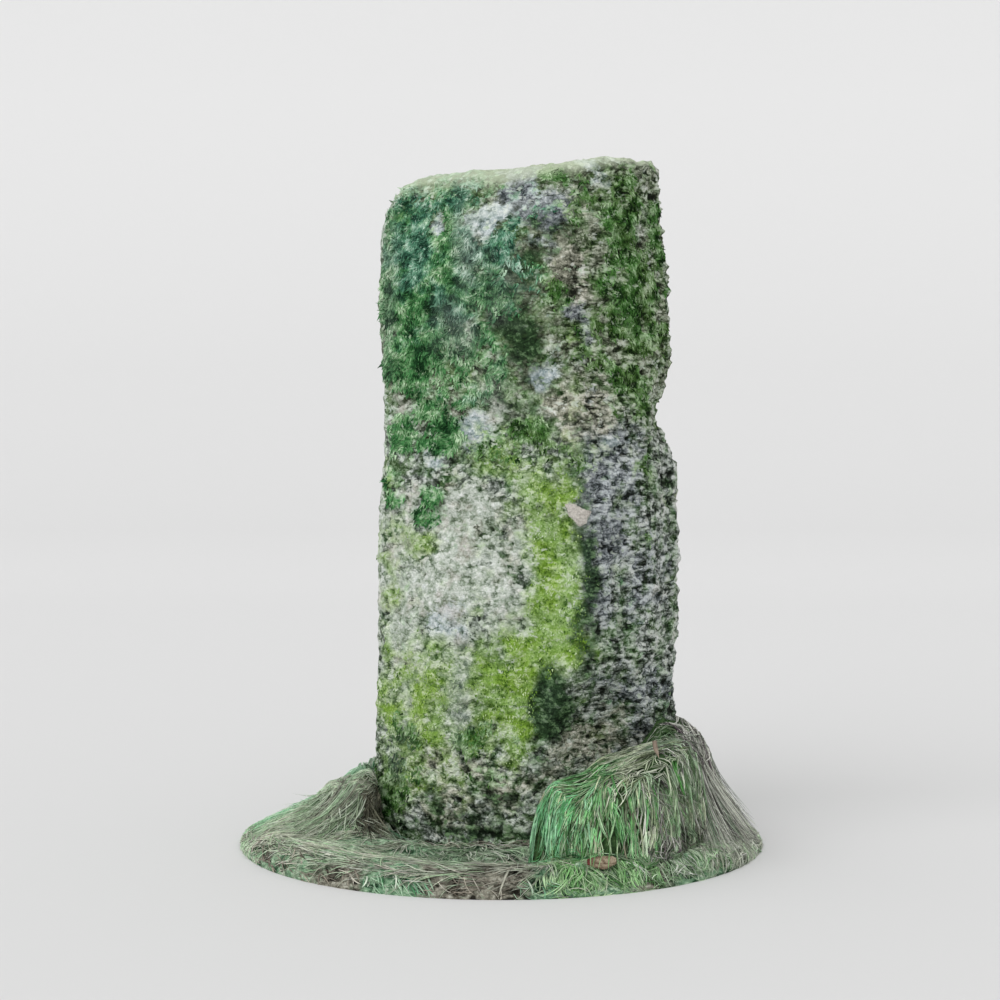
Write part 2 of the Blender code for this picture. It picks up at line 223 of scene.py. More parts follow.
# %% Patches on the front of the stone
FRONT_PATCHES = {
    "deep": [
        (-106, 1242, 175, 190, 100), (-197, 1080, 85, 170, 100), (-110, 1050, 110, 120, 80),
        (-126, 920, 95, 70, 75), (-125, 860, 55, 55, 95), (-215, 860, 35, 60, 85),
        (-160, 716, 24, 52, 85), (-222, 775, 22, 60, 70), (10, 1200, 60, 110, 60),
    ],
    "olive": [
        (262, 1345, 100, 80, 95), (300, 1140, 70, 170, 95), (160, 1313, 55, 42, 90),
        (118, 1140, 38, 40, 80), (225, 1060, 85, 85, 80), (240, 1180, 80, 110, 70),
        (280, 930, 90, 70, 60), (95, 1395, 30, 22, 85), (50, 940, 80, 60, 55),
        (325, 740, 40, 120, 60), (40, 850, 110, 50, 60), (130, 835, 70, 50, 70),
        (-222, 125, 44, 80, 90), (-205, 225, 35, 60, 75), (-20, 160, 110, 70, 50),
        (-55, 235, 42, 36, 95),
    ],
    "lime": [
        (20, 805, 100, 50, 42), (110, 800, 75, 50, 62), (85, 735, 75, 55, 85),
        (105, 630, 66, 85, 105), (108, 530, 64, 90, 105), (85, 445, 85, 65, 105),
        (30, 400, 95, 60, 100), (5, 340, 78, 70, 105), (30, 275, 50, 60, 100),
        (28, 215, 28, 45, 85), (-150, 385, 75, 60, 62), (-135, 310, 75, 95, 86),
        (-150, 190, 85, 95, 80), (-235, 320, 35, 140, 60), (-60, 250, 50, 75, 70),
        (-190, 660, 70, 50, 50), (-240, 480, 26, 240, 42),
    ],
    "pale": [
        (-105, 530, 150, 105, 100), (-25, 610, 105, 105, 90), (16, 490, 60, 80, 85),
        (-85, 700, 100, 90, 90), (-205, 620, 55, 110, 88), (-150, 440, 90, 70, 80),
        (-215, 430, 45, 120, 95), (-222, 168, 13, 45, 85), (-60, 900, 60, 45, 90),
        (-200, 905, 45, 28, 80), (-85, 345, 22, 100, 85), (-240, 1330, 26, 60, 80),
        (-180, 330, 100, 130, 90), (-60, 290, 70, 70, 62), (40, 740, 60, 60, 60),
    ],
    "white": [
        (-25, 1318, 46, 46, 100), (-130, 1318, 20, 24, 75), (98, 994, 38, 30, 100),
        (190, 1380, 28, 45, 75), (-48, 872, 32, 34, 80), (-140, 815, 22, 24, 85),
        (240, 855, 20, 22, 90), (200, 1425, 50, 16, 80), (-100, 480, 60, 50, 50),
    ],
    "violet": [
        (42, 1362, 42, 56, 120), (102, 1325, 44, 45, 115), (88, 1250, 34, 40, 70),
        (168, 1080, 28, 70, 80), (118, 1038, 45, 28, 70), (220, 775, 80, 125, 100),
        (210, 610, 65, 130, 95), (300, 560, 60, 120, 60), (290, 320, 80, 80, 65),
    ],
    "beige": [
        (142, 1202, 46, 46, 125), (118, 1243, 26, 20, 85), (165, 1320, 30, 50, 55),
        (158, 918, 80, 60, 85), (60, 985, 55, 50, 55), (213, 992, 14, 14, 90),
        (-136, 968, 14, 14, 90), (-80, 905, 40, 35, 70), (-118, 765, 24, 18, 90),
        (-80, 290, 18, 14, 110), (-100, 500, 60, 60, 55), (-60, 680, 110, 90, 55),
        (165, 225, 85, 75, 75), (-60, 145, 180, 90, 66), (30, 150, 80, 90, 60),
    ],
    # partly painted shade, in the recess beside the arris and along the foot of the stone, and
    # partly dark algae
    "dark": [
        (173, 530, 26, 160, 95), (100, 312, 38, 62, 160), (75, 235, 30, 60, 60),
        (-50, 45, 200, 20, 60), (-140, 105, 35, 50, 55), (20, 110, 60, 30, 60),
        (100, 1260, 20, 18, 85), (155, 1345, 20, 30, 60), (-50, 252, 30, 22, 70),
        (45, 1060, 55, 110, 90), (0, 1130, 36, 90, 72), (85, 1275, 50, 60, 60),
        (35, 1200, 40, 60, 80), (165, 650, 20, 200, 70),
    ],
}

# %% Patches on the back
BACK_PATCHES = {
    "deep": [
        (150, 1150, 170, 250, 100), (-100, 1330, 180, 80, 80), (220, 300, 100, 200, 80),
    ],
    "olive": [
        (-180, 1080, 130, 250, 90), (0, 880, 110, 110, 70), (-180, 350, 110, 160, 60),
    ],
    "lime": [
        (60, 720, 70, 230, 90), (-20, 400, 90, 150, 80), (180, 600, 60, 90, 60),
    ],
    "pale": [
        (-120, 650, 160, 190, 100), (200, 800, 110, 120, 80), (-50, 1100, 90, 110, 80),
    ],
    "white": [
        (-80, 1130, 42, 36, 100), (120, 930, 32, 30, 90), (-170, 560, 32, 24, 90),
    ],
    "violet": [
        (0, 1220, 90, 140, 90), (-220, 800, 90, 160, 90),
    ],
    "beige": [
        (50, 140, 250, 90, 90), (-120, 960, 60, 60, 80),
    ],
    # partly painted shade, at the foot, and partly dark algae
    "dark": [
        (0, 60, 300, 40, 80), (50, 860, 140, 24, 70), (-100, 480, 30, 110, 80),
    ],
}

# %% A film of dust, and the cover that the patches add up to
GREENS = ("deep", "olive", "lime")
VEIL = [  # a thin grey film of dust and spores, over rock and moss alike
    (-60, 1235, 30, 85, 90), (-90, 1075, 45, 55, 90), (-242, 1200, 20, 200, 60),
    (0, 1150, 30, 50, 50), (-20, 960, 50, 40, 50), (-83, 340, 18, 95, 100),
    (-225, 190, 22, 55, 70), (-80, 290, 24, 18, 150),
]


def spread(points, patches, seed):
    """How strongly the patches cover each point, from 0 to 1."""
    x = points[:, 0] + 0.028 * layered(points, 0.080, seed, 4)
    z = points[:, 2] + 0.034 * layered(points, 0.080, seed + 5, 4)
    cover = np.zeros(len(points))
    for *millimetres, percent in patches:
        centre_x, centre_z, reach_x, reach_z = (mm / 1000 for mm in millimetres)
        far = ((x - centre_x) / reach_x) ** 2 + ((z - centre_z) / reach_z) ** 2
        cover = np.maximum(cover, percent / 100 * np.exp(-0.7 * far**1.5))
    return cover


def growth(points):
    """The cover of every growth at each point. Above one half, it has taken hold."""
    front = ramp(0.12, 0.04, points[:, 1] - 0.03 * layered(points, 0.10, 3, 2))
    found = {}
    for k, name in enumerate(FRONT_PATCHES):
        ahead = spread(points, FRONT_PATCHES[name], 40 + k)
        behind = spread(points, BACK_PATCHES[name], 60 + k)
        found[name] = ahead * front + behind * (1 - front)
    for name in GREENS:
        found[name] *= 1 - 0.90 * found["white"]
        found[name] *= 1 - 0.40 * np.maximum(found["violet"], found["beige"])
    for k, name in enumerate(found):
        islands = layered(points, (0.050, 0.050, 0.040), 80 + k, 3)
        islets = layered(points, 0.016, 95 + k, 2)
        found[name] = np.clip(1.05 * found[name] + 0.42 * islands + 0.26 * islets - 0.04, 0, 1.3)
    return found


# %% [markdown]
# ## The stone's skin
#
# Up close a weathered granite face is far from smooth: the softer grains have washed out,
# thin beds stand out as ledges, and each crust of lichen is a layer of its own, a few
# millimetres thick. The solid has only the large forms. A voxel remesh gives it an even
# net of small faces, a little smoothing takes away the solid's flat triangles, and then
# every point moves along its normal. It could be done with bump in the material alone,
# but then the outline and the shadows would stay smooth.

# %% Remesh the stone
STONE_NET = 0.0046  # side of one face of the net, in metres
MOST_STONE_FACES = 195000

stone = merged_copy("stone_skin", "stone")
remesh = stone.modifiers.new("Even net", "REMESH")
remesh.mode = "VOXEL"
remesh.voxel_size = STONE_NET
soften = stone.modifiers.new("Soften facets", "SMOOTH")
soften.factor = 0.5
soften.iterations = 14
settle(stone)

# %% Rock that stays bare
skin, out = shape_of(stone.data)
cover = growth(skin)
torn = ramp(0.0, 0.5, layered(skin, (0.05, 0.05, 0.035), 78, 2)) * ramp(0.80, 1.0, skin[:, 2])
cover["olive"] -= 0.45 * torn
cover["deep"] -= 0.40 * torn * ramp(-0.16, 0.0, skin[:, 0])
bare_edge = ramp(0.72, 0.96, np.abs(out[:, 0])) * ramp(0.25, 0.5, skin[:, 2])
cover["olive"] *= 1 - 0.7 * bare_edge
cover["deep"] *= 1 - 0.5 * bare_edge
cover["pale"] += 0.35 * bare_edge
green = np.maximum.reduce([cover[name] for name in GREENS]).clip(0, 1)
crust = np.maximum(cover["pale"], cover["white"]).clip(0, 1)
side_face = ramp(0.10, 0.45, out[:, 0]) * ramp(0.08, 0.16, skin[:, 0])
rubble = np.maximum(side_face, ramp(0.30, 0.12, skin[:, 2]))
for name, values in cover.items():
    print(f"{name} has taken hold of {100 * np.mean(values > 0.5):.0f} % of the points")

# %% Relief, from the broad swells to the crumbs


def ridged(points, spacing, seed):
    """Sharp crests with round hollows between them, from -1 to 1."""
    return 1 - 2 * np.abs(smooth_noise(points, spacing, seed)) ** 0.6


swells = 0.0034 * layered(skin, 0.060, 11)
relief = swells + (0.0022 + 0.0026 * rubble) * layered(skin, (0.022, 0.022, 0.016), 12, 3)
relief += 0.0030 * side_face * ridged(skin, (0.050, 0.050, 0.017), 13)
relief += (0.0018 + 0.0022 * rubble) * ridged(skin, (0.026, 0.026, 0.014), 14)
relief += 0.0018 * layered(skin, 0.0105, 15, 1)
relief -= 0.0050 * ramp(0.45, 0.80, layered(skin, 0.022, 16, 2)) * (1 - 0.8 * green)
relief += 0.0020 * ramp(0.45, 0.62, crust) + 0.0020 * ramp(0.42, 0.60, green)
relief += 0.0046 * layered(skin, (0.034, 0.034, 0.026), 17, 2) * ramp(0.4, 0.7, green)
cracks = ramp(0.80, 1.0, ridged(skin, (0.13, 0.13, 0.045), 18))
relief -= 0.0050 * cracks * (0.3 + 0.7 * side_face) * (1 - 0.7 * green)

# %% A loose flake of rock on the arris
FLAKE = [  # its outline: across, up
    (0.127, 0.726), (0.149, 0.727), (0.183, 0.711), (0.172, 0.688), (0.158, 0.681),
    (0.138, 0.700),
]
FLAKE_STANDS_OUT = 0.0055
flake = np.full(len(skin), -1.0)
for (x0, z0), (x1, z1) in zip(FLAKE, FLAKE[1:] + FLAKE[:1]):
    across = (z1 - z0) * (skin[:, 0] - x0) - (x1 - x0) * (skin[:, 2] - z0)
    flake = np.maximum(flake, -across / math.hypot(x1 - x0, z1 - z0))
flake += 0.003 * smooth_noise(skin, 0.012, 19)
flake = np.where(skin[:, 1] < 0, ramp(0.002, -0.002, flake), 0)
relief = relief * (1 - flake) + FLAKE_STANDS_OUT * flake

# %% Move the points
SINK = 0.0045  # below the solid's face, so that what grows on it reaches the face
above_ground = ramp(0.0, 0.03, skin[:, 2])
moved = skin + out * ((relief - SINK) * above_ground)[:, None]
moved[:, 2] = np.maximum(moved[:, 2], 0.0)
move_points(stone.data, moved)
print("relief from %.1f to %.1f mm" % (1000 * relief.min(), 1000 * relief.max()))

# %% Keep the covers for the material and the moss
kept_values = {
    **cover,
    "flake": flake,
    "upper": ramp(0.80, 0.98, skin[:, 2]),
    "veil": spread(skin, VEIL, 77) * ramp(0.12, 0.04, skin[:, 1]),
    # the upward faces at the top: a painted highlight in the colours, and fewer moss shoots
    "crown": ramp(0.30, 0.85, out[:, 2]) * ramp(1.20, 1.34, skin[:, 2]),
    "rubble": ramp(0.34, 0.16, skin[:, 2]) * (1 - side_face),
    "bedded": side_face,
    # painted shade: darker colour in the hollows of the relief, where less light gets in
    "cavity": ramp(0.0005, -0.0065, relief - swells),
}
for name, values in kept_values.items():
    store(stone.data, name, values)
up = np.array([0.0, 0.0, 1.0])
hang = np.stack([layered(skin, 0.014, 21 + k, 2) for k in range(3)], axis=1)
hang -= out * np.sum(hang * out, axis=1)[:, None]
hang += 0.22 * out - up * (0.60 - 0.8 * out[:, 2:3].clip(0, 1))
store(stone.data, "lay", hang)
thin = stone.modifiers.new("Fewer faces where it is calm", "DECIMATE")
stone.data.calc_loop_triangles()
thin.ratio = MOST_STONE_FACES / len(stone.data.loop_triangles)
settle(stone)
stone.data.shade_smooth()
print("kept on the points:", sorted(a.name for a in stone.data.attributes if a.domain == "POINT"))

# %% [markdown]
# ## Granite, lichen and algae
#
# The rock is a violet-grey granite. What the eye meets first is its crumbs: grains and
# scraps of lichen five to ten millimetres wide, each a little lighter or darker than the
# next, with dark gaps between them. Cells of a Voronoi pattern make the crumbs, and noise
# of two finer sizes makes the grit on them. Crustose lichen is a chalky layer, pale
# grey-green to nearly white, and algae a thin green film. None of them shines, so
# roughness stays near 1.

# %% Patterns that the materials share


def new_material(name, roughness):
    material = bpy.data.materials.new(name)
    material.use_nodes = True
    shader = material.node_tree.nodes["Principled BSDF"]
    shader.inputs["Roughness"].default_value = roughness
    shader.inputs["Specular IOR Level"].default_value = 0.2
    return material, material.node_tree, shader


def wear(piece, material):
    """Gives a piece this finish and no other."""
    piece.data.materials.clear()
    piece.data.materials.append(material)


def place(tree, mm, stretch=(1, 1, 1)):
    """Coordinates in which one unit is this many millimetres."""
    here = add(tree, "ShaderNodeTexCoord").outputs["Object"]
    scale = [1000 / mm / s for s in stretch]
    return add(tree, "ShaderNodeMapping", {"Vector": here, "Scale": scale})


def speckle(tree, mm, detail=3.0, stretch=(1, 1, 1)):
    """Noise whose grains are about this many millimetres wide."""
    inputs = {"Vector": place(tree, mm, stretch), "Scale": 1.0, "Detail": detail}
    return add(tree, "ShaderNodeTexNoise", inputs | {"Roughness": 0.65})


def blotches(tree, mm, detail, low, high, weakest, strongest):
    """Noise that goes from its weakest to its strongest value between two levels."""
    inputs = {"Value": speckle(tree, mm, detail), "From Min": low, "From Max": high}
    inputs |= {"To Min": weakest, "To Max": strongest}
    return add(tree, "ShaderNodeMapRange", inputs)


def crumbs(tree, mm, stretch=(1, 1, 1)):
    """Ragged cells: how far a point is from its cell's middle, and the cell's own chance."""
    ragged = speckle(tree, 1.3 * mm, 2.0, stretch).outputs["Color"]
    inputs = {0: ragged, 1: (2.2, 2.2, 2.2), 2: place(tree, mm, stretch)}
    shifted = add(tree, "ShaderNodeVectorMath", inputs, operation="MULTIPLY_ADD")
    cells = add(tree, "ShaderNodeTexVoronoi", {"Vector": shifted, "Scale": 1.0})
    own = add(tree, "ShaderNodeSeparateColor", {"Color": cells.outputs["Color"]})
    return cells.outputs["Distance"], own


def held(tree, *names):
    """The numbers that a mesh keeps on its points, by name."""
    nodes = {name: add(tree, "ShaderNodeAttribute", attribute_name=name) for name in names}
    return {name: node.outputs["Fac"] for name, node in nodes.items()}


def weighted(tree, total, *terms):
    """A total to which (term, weight) pairs are added in turn. Both may be nodes."""
    for term, weight in terms:
        inputs = {0: term, 1: weight, 2: total}
        total = add(tree, "ShaderNodeMath", inputs, operation="MULTIPLY_ADD")
    return total


def laid_over(tree, colour, *layers):
    """A colour with (colour, factor) layers laid over it in turn, like coats of paint."""
    for over, factor in layers:
        inputs = {"Factor": factor, "A": colour, "B": over}
        colour = add(tree, "ShaderNodeMix", inputs, data_type="RGBA")
    return colour


def mossy(tree, value, kind):
    """The greens of one kind of moss, which drift between a cool and a warm set."""
    drift = speckle(tree, 75, 3.0)
    if kind == "deep":  # the coolest greens are near the top
        here = add(tree, "ShaderNodeTexCoord").outputs["Object"]
        height = add(tree, "ShaderNodeSeparateXYZ", {"Vector": here}).outputs["Z"]
        drift = weighted(tree, drift, (0.63, 1.0), (height, -0.5))
    warmth = add(tree, "ShaderNodeMapRange", {"Value": drift, "From Min": 0.42, "From Max": 0.58})
    cool, warm = (
        add(tree, "ShaderNodeValToRGB", {"Fac": value}, stops) for stops in MOSS_GREENS[kind]
    )
    return laid_over(tree, cool, (warm, warmth))


# %% The greens
MOSS_GREENS = {
    "deep": (
        ((0.08, "1A4030"), (0.34, "447A60"), (0.60, "72A488"), (0.92, "BEDAC8")),
        ((0.08, "163F1E"), (0.34, "407D45"), (0.60, "70A46C"), (0.92, "BED8B4")),
    ),
    "olive": (
        ((0.08, "102C0A"), (0.34, "386827"), (0.60, "659153"), (0.92, "AECBA0")),
        ((0.08, "162D0C"), (0.34, "476A2E"), (0.60, "75955F"), (0.92, "B6CDA6")),
    ),
    "lime": (
        ((0.08, "3A601A"), (0.34, "729832"), (0.60, "8DB04B"), (0.92, "C4D6A2")),
        ((0.08, "466A2C"), (0.34, "7FA254"), (0.60, "A0BE7A"), (0.92, "CEDCBE")),
    ),
}

# %% What the rock and its lichens look like, from the darkest crumb to the lightest
TONES = {
    "rock": (
        (0.10, "0D120B"), (0.32, "3D463C"), (0.52, "727A72"), (0.72, "AFB6B0"), (0.92, "DCE0DC"),
    ),
    "upper rock": (
        (0.10, "15190E"), (0.32, "424A36"), (0.54, "727A64"), (0.76, "A2A992"), (0.94, "C6CCBA"),
    ),
    "violet": (
        (0.10, "1D2222"), (0.30, "50585A"), (0.52, "868C90"), (0.74, "B4BBBE"), (0.94, "D4DADC"),
    ),
    "beige": (
        (0.10, "1B1D14"), (0.32, "55584A"), (0.54, "8D8E7E"), (0.76, "C0BFAF"), (0.94, "DEDCD0"),
    ),
    "pale": (
        (0.10, "45533E"), (0.30, "82917B"), (0.52, "AFB9AC"), (0.74, "D0D6CD"), (0.94, "EEF0ED"),
    ),
    "white": (
        (0.10, "4E5F60"), (0.32, "8B9B9C"), (0.54, "B2BEC0"), (0.78, "D6DDDE"), (0.94, "EAEEEE"),
    ),
    "deep shade": ((0.20, "0A190A"), (0.60, "223F20"), (0.90, "5E8052")),
    "film": ((0.20, "5F6E66"), (0.50, "939F96"), (0.80, "C4CCC4")),
}
CRUSTS = ("violet", "beige", "pale", "white")
FRESH_ROCK = ((0.30, "A9A39B"), (0.60, "D0CBC3"))
# SUNLIT_MOSS is a painted highlight: the top of the stone paler, where light falls on it from
# above.
BLUSH, FLECK, SUNLIT_MOSS = linear("C9B4B2"), linear("C4CCC2"), linear("DCE8CC")

# %% How light each crumb is
granite, tree, shader = new_material("weathered granite with lichen", 0.95)  # chalky, no shine
mark = held(tree, *FRONT_PATCHES, "cavity", "bedded", "rubble", "upper", "veil", "crown", "flake")
gap, own = crumbs(tree, 9.5, (1.35, 1.35, 0.9))
small_gap, small_own = crumbs(tree, 4.6)
chip_gap, chip_own = crumbs(tree, 14, (1.8, 1.8, 0.65))
stone_gap, stone_own = crumbs(tree, 17, (1.2, 1.2, 0.9))
grit, grain = speckle(tree, 19, 4.0), speckle(tree, 3.6, 2.0)
chips = weighted(tree, 0.10, (chip_own, 0.46), (chip_gap, -0.54))
stones = weighted(tree, 0.235, (stone_own, 0.34), (stone_gap, -0.66))
value = weighted(tree, 0.0, (own, 0.36), (gap, -0.30), (grit, 1.25))
# painted shade: the crumbs darker in the hollows of the relief
value = weighted(tree, value, (small_own, 0.22), (small_gap, -0.22), (mark["cavity"], -0.36))
value = weighted(tree, value, (mark["bedded"], chips), (mark["rubble"], stones), (-0.09, 1.0))

# %% Granite under lichen and algae
MOSS_EDGES = {"deep": (0.55, 0.30, 0.74), "olive": (0.55, 0.30, 0.74), "lime": (0.36, 0.16, 0.90)}


def frayed(name, reach=0.55, low=0.30, high=0.74):
    """A growth's cover, its edge frayed by the crumbs and the grit."""
    loose = weighted(tree, -1.35, (grit, 2.0), (own, 0.7))
    edge = weighted(tree, mark[name], (loose, reach))
    return add(tree, "ShaderNodeMapRange", {"Value": edge, "From Min": low, "From Max": high})


toned = {
    name: add(tree, "ShaderNodeValToRGB", {"Fac": value}, stops) for name, stops in TONES.items()
}
colour = laid_over(
    tree,
    toned["rock"],
    (toned["upper rock"], weighted(tree, 0.0, (mark["upper"], 0.85))),
    (mossy(tree, value, "olive"), blotches(tree, 45, 4.0, 0.44, 0.60, 0.0, 0.55)),  # algae
    *[(toned[name], frayed(name)) for name in CRUSTS],
)
blush = blotches(tree, 60, 3.0, 0.50, 0.66, 0.0, 0.30)
colour = laid_over(
    tree,
    colour,
    (BLUSH, weighted(tree, 0.0, (blush, frayed("pale")))),
    *[(mossy(tree, value, name), frayed(name, *edge)) for name, edge in MOSS_EDGES.items()],
    # the darkest greens over these patches: painted shade and dark algae
    (toned["deep shade"], weighted(tree, 0.0, (frayed("dark"), 0.93))),
)
middle = weighted(tree, own, (gap, -0.7))
fleck = add(tree, "ShaderNodeMapRange", {"Value": middle, "From Min": 0.52, "From Max": 0.68})
fleck = weighted(tree, 0.0, (fleck, blotches(tree, 55, 3.0, 0.42, 0.60, 0.15, 0.75)))
fleck = weighted(tree, 0.0, (fleck, weighted(tree, 1.0, (frayed("dark"), -0.75))))
scale = add(tree, "ShaderNodeMapRange", {"Value": mark["flake"], "From Min": 0.4, "From Max": 0.6})
colour = laid_over(
    tree,
    colour,
    (FLECK, fleck),
    (toned["film"], weighted(tree, 0.0, (mark["veil"], 0.6))),
    (SUNLIT_MOSS, weighted(tree, 0.0, (mark["crown"], 0.6))),
    (add(tree, "ShaderNodeValToRGB", {"Fac": grain}, FRESH_ROCK), scale),
)
join(tree, colour, shader.inputs["Base Color"])
height = weighted(tree, 0.0, (own, 0.35), (grain, 0.35), (grit, 1.6), (gap, -0.5))
for where, crumb_gap, depth in (("bedded", chip_gap, -1.2), ("rubble", stone_gap, -1.4)):
    height = weighted(tree, height, (weighted(tree, 0.0, (mark[where], crumb_gap)), depth))
bump = add(tree, "ShaderNodeBump", {"Height": height, "Strength": 0.9, "Distance": 0.005})
join(tree, bump, shader.inputs["Normal"])
wear(stone, granite)
print("granite:", len(tree.nodes), "nodes")

# %% [markdown]
# ## Moss
#
# Moss is thousands of leafy shoots that stand close together, each a few millimetres
# wide and about a centimetre long, and on an upright face they hang. A shoot is drawn as
# a slender three-sided spike, because there are tens of thousands of them. Geometry Nodes
# scatter the spikes where the cover attribute is strong, point each along the lay
# attribute and turn it by a little chance. Hair would be quicker to draw, but it isn't a
# mesh, and every piece here has to be one.

# %% A tree that scatters shoots


def new_tree(name, **inputs):
    """A Geometry Nodes tree with these named inputs, its group input and its output."""
    kinds = {float: "NodeSocketFloat", int: "NodeSocketInt", str: "NodeSocketString"}
    tree = bpy.data.node_groups.new(name, "GeometryNodeTree")
    for way in ("INPUT", "OUTPUT"):
        tree.interface.new_socket("Geometry", in_out=way, socket_type="NodeSocketGeometry")
    for key, value in inputs.items():
        kind, label = kinds.get(type(value), "NodeSocketMaterial"), key.replace("_", " ")
        socket = tree.interface.new_socket(label, in_out="INPUT", socket_type=kind)
        if value is not None:
            socket.default_value = value
    return tree, add(tree, "NodeGroupInput").outputs, add(tree, "NodeGroupOutput")


def grow(piece, tree, **values):
    """Runs a tree on a piece, with its inputs set by their identifiers."""
    modifier = piece.modifiers.new(tree.name, "NODES")
    modifier.node_group = tree
    for item in tree.interface.items_tree:
        key = item.name.replace(" ", "_")
        if item.item_type == "SOCKET" and item.in_out == "INPUT" and key in values:
            modifier[item.identifier] = values[key]
    return settle(piece)


def end_tree(tree, geometry, given, result):
    """The last two nodes of a tree: real faces, with their finish."""
    real = add(tree, "GeometryNodeRealizeInstances", {"Geometry": geometry})
    inputs = {"Geometry": real, "Material": given["Finish"]}
    join(tree, add(tree, "GeometryNodeSetMaterial", inputs), result.inputs["Geometry"])


shoots, given, result = new_tree(
    "moss shoots", Cover="deep", Per_Square_Metre=60000.0, Length=0.014, Width=0.0042,
    Seed=1, Finish=None,
)
taken = add(shoots, "GeometryNodeInputNamedAttribute", {"Name": given["Cover"]}, data_type="FLOAT")
strong = add(shoots, "ShaderNodeMapRange", {"Value": taken, "From Min": 0.45, "From Max": 0.95})
sunlit = add(shoots, "GeometryNodeInputNamedAttribute", {"Name": "crown"}, data_type="FLOAT")
damp = add(shoots, "ShaderNodeMath", {0: 1.0, 1: sunlit}, operation="SUBTRACT")
density = add(shoots, "ShaderNodeMath", {0: strong, 1: damp}, operation="MULTIPLY")
density = add(
    shoots, "ShaderNodeMath", {0: density, 1: given["Per Square Metre"]}, operation="MULTIPLY"
)
inputs = {"Mesh": given["Geometry"], "Density": density, "Seed": given["Seed"]}
scatter = add(shoots, "GeometryNodeDistributePointsOnFaces", inputs)
lay = add(shoots, "GeometryNodeInputNamedAttribute", {"Name": "lay"}, data_type="FLOAT_VECTOR")
aimed = add(shoots, "FunctionNodeAlignRotationToVector", {"Vector": lay}, axis="Z")
inputs = {"Min": (-0.3, -0.3, -3.14), "Max": (0.3, 0.3, 3.14), "Seed": given["Seed"]}
lean = add(shoots, "FunctionNodeRandomValue", inputs, data_type="FLOAT_VECTOR")
tilt = add(shoots, "FunctionNodeEulerToRotation", {"Euler": lean})
inputs = {"Rotation": aimed, "Rotate By": tilt}
turned = add(shoots, "FunctionNodeRotateRotation", inputs, rotation_space="LOCAL")
inputs = {"Vertices": 3, "Radius Top": 0.0, "Radius Bottom": given["Width"]}
spike = add(shoots, "GeometryNodeMeshCone", inputs | {"Depth": given["Length"]})
inputs = {"Min": 0.55, "Max": 1.25, "Seed": given["Seed"]}
size = add(shoots, "FunctionNodeRandomValue", inputs, data_type="FLOAT")
inputs = {"Points": scatter, "Instance": spike, "Rotation": turned, "Scale": size}
planted = add(shoots, "GeometryNodeInstanceOnPoints", inputs)
inputs = {"Min": 0.0, "Max": 1.0, "Seed": 7}
tinted = add(shoots, "FunctionNodeRandomValue", inputs, data_type="FLOAT")
shaded = add(
    shoots, "GeometryNodeStoreNamedAttribute",
    {"Geometry": planted, "Name": "shade", "Value": tinted}, data_type="FLOAT", domain="INSTANCE",
)
end_tree(shoots, shaded, given, result)

# %% [markdown]
# The shoots take the greens of the film under them. The shade attribute gives each shoot
# a tone of its own, and a hollow in the rock makes those in it darker, because less light
# gets in between them.

# %% Three mosses
FILM_ON_MOSS = ((0.1, "5F6E66"), (0.5, "939F96"), (0.9, "C4CCC4"))


def moss_material(name, kind):
    """Living moss: soft and quite without shine, in tufts of 30 mm and banks of 60 mm."""
    material, tree, shader = new_material(name, 0.9)
    mark = held(tree, "shade", "cavity", "crown", "veil")
    tuft, bank = speckle(tree, 30, 4.0), speckle(tree, 60, 2.0)
    # painted shade: shoots darker in the hollows of the rock
    value = weighted(
        tree, -1.46, (bank, 0.8), (tuft, 2.7), (mark["shade"], 0.32), (mark["cavity"], -0.34)
    )
    film = add(tree, "ShaderNodeValToRGB", {"Fac": value}, FILM_ON_MOSS)
    colour = laid_over(
        tree,
        mossy(tree, value, kind),
        (film, weighted(tree, 0.0, (mark["veil"], 0.6))),
        (SUNLIT_MOSS, weighted(tree, 0.0, (mark["crown"], 0.7))),
    )
    join(tree, colour, shader.inputs["Base Color"])
    return material


def plant(kind, per_square_metre, length, width, seed, material):
    patch = new_piece("moss_" + kind, stone.data.copy())
    return grow(
        patch, shoots, Cover=kind, Per_Square_Metre=per_square_metre,
        Length=length, Width=width, Seed=seed, Finish=material,
    )


moss_deep = plant("deep", 80000.0, 0.0115, 0.0028, 3, moss_material("feather moss", "deep"))
moss_olive = plant("olive", 86000.0, 0.0105, 0.0028, 4, moss_material("cushion moss", "olive"))
moss_lime = plant("lime", 36000.0, 0.0055, 0.0020, 5, moss_material("silky moss", "lime"))

# %% [markdown]
# ## The turf
#
# Turf is a mat of roots, soil and dead stems with short grass on it. The cut rim shows
# the brown soil. Its surface here lies a little under the solid's face, and strands of
# grass, laid like combed hair, fill the rest.

# %% The ground
NO_LENGTH = 0.000001  # a millionth of a metre, under which an edge is a fault of the solid


def finer(piece, longest, rounds, inside=lambda point: point.z > 0.001):
    """Divides the edges in one region that are longer than this, for reshaping."""
    bm = bmesh.new()
    bm.from_mesh(piece.data)
    for _ in range(rounds):
        near = [e for e in bm.edges if inside(e.verts[0].co) or inside(e.verts[1].co)]
        bmesh.ops.subdivide_edges(bm, edges=[e for e in near if e.calc_length() > longest], cuts=1)
        bmesh.ops.triangulate(bm, faces=bm.faces)
    bmesh.ops.dissolve_degenerate(bm, dist=NO_LENGTH, edges=bm.edges)
    bmesh.ops.triangulate(bm, faces=bm.faces)
    bm.to_mesh(piece.data)
    bm.free()


def on_the_cut(point):
    """Whether a point is on the front half of the cut rim."""
    return point.y < 0.1 and 0.001 < point.z < 0.08 and math.hypot(point.x, point.y) > 0.50


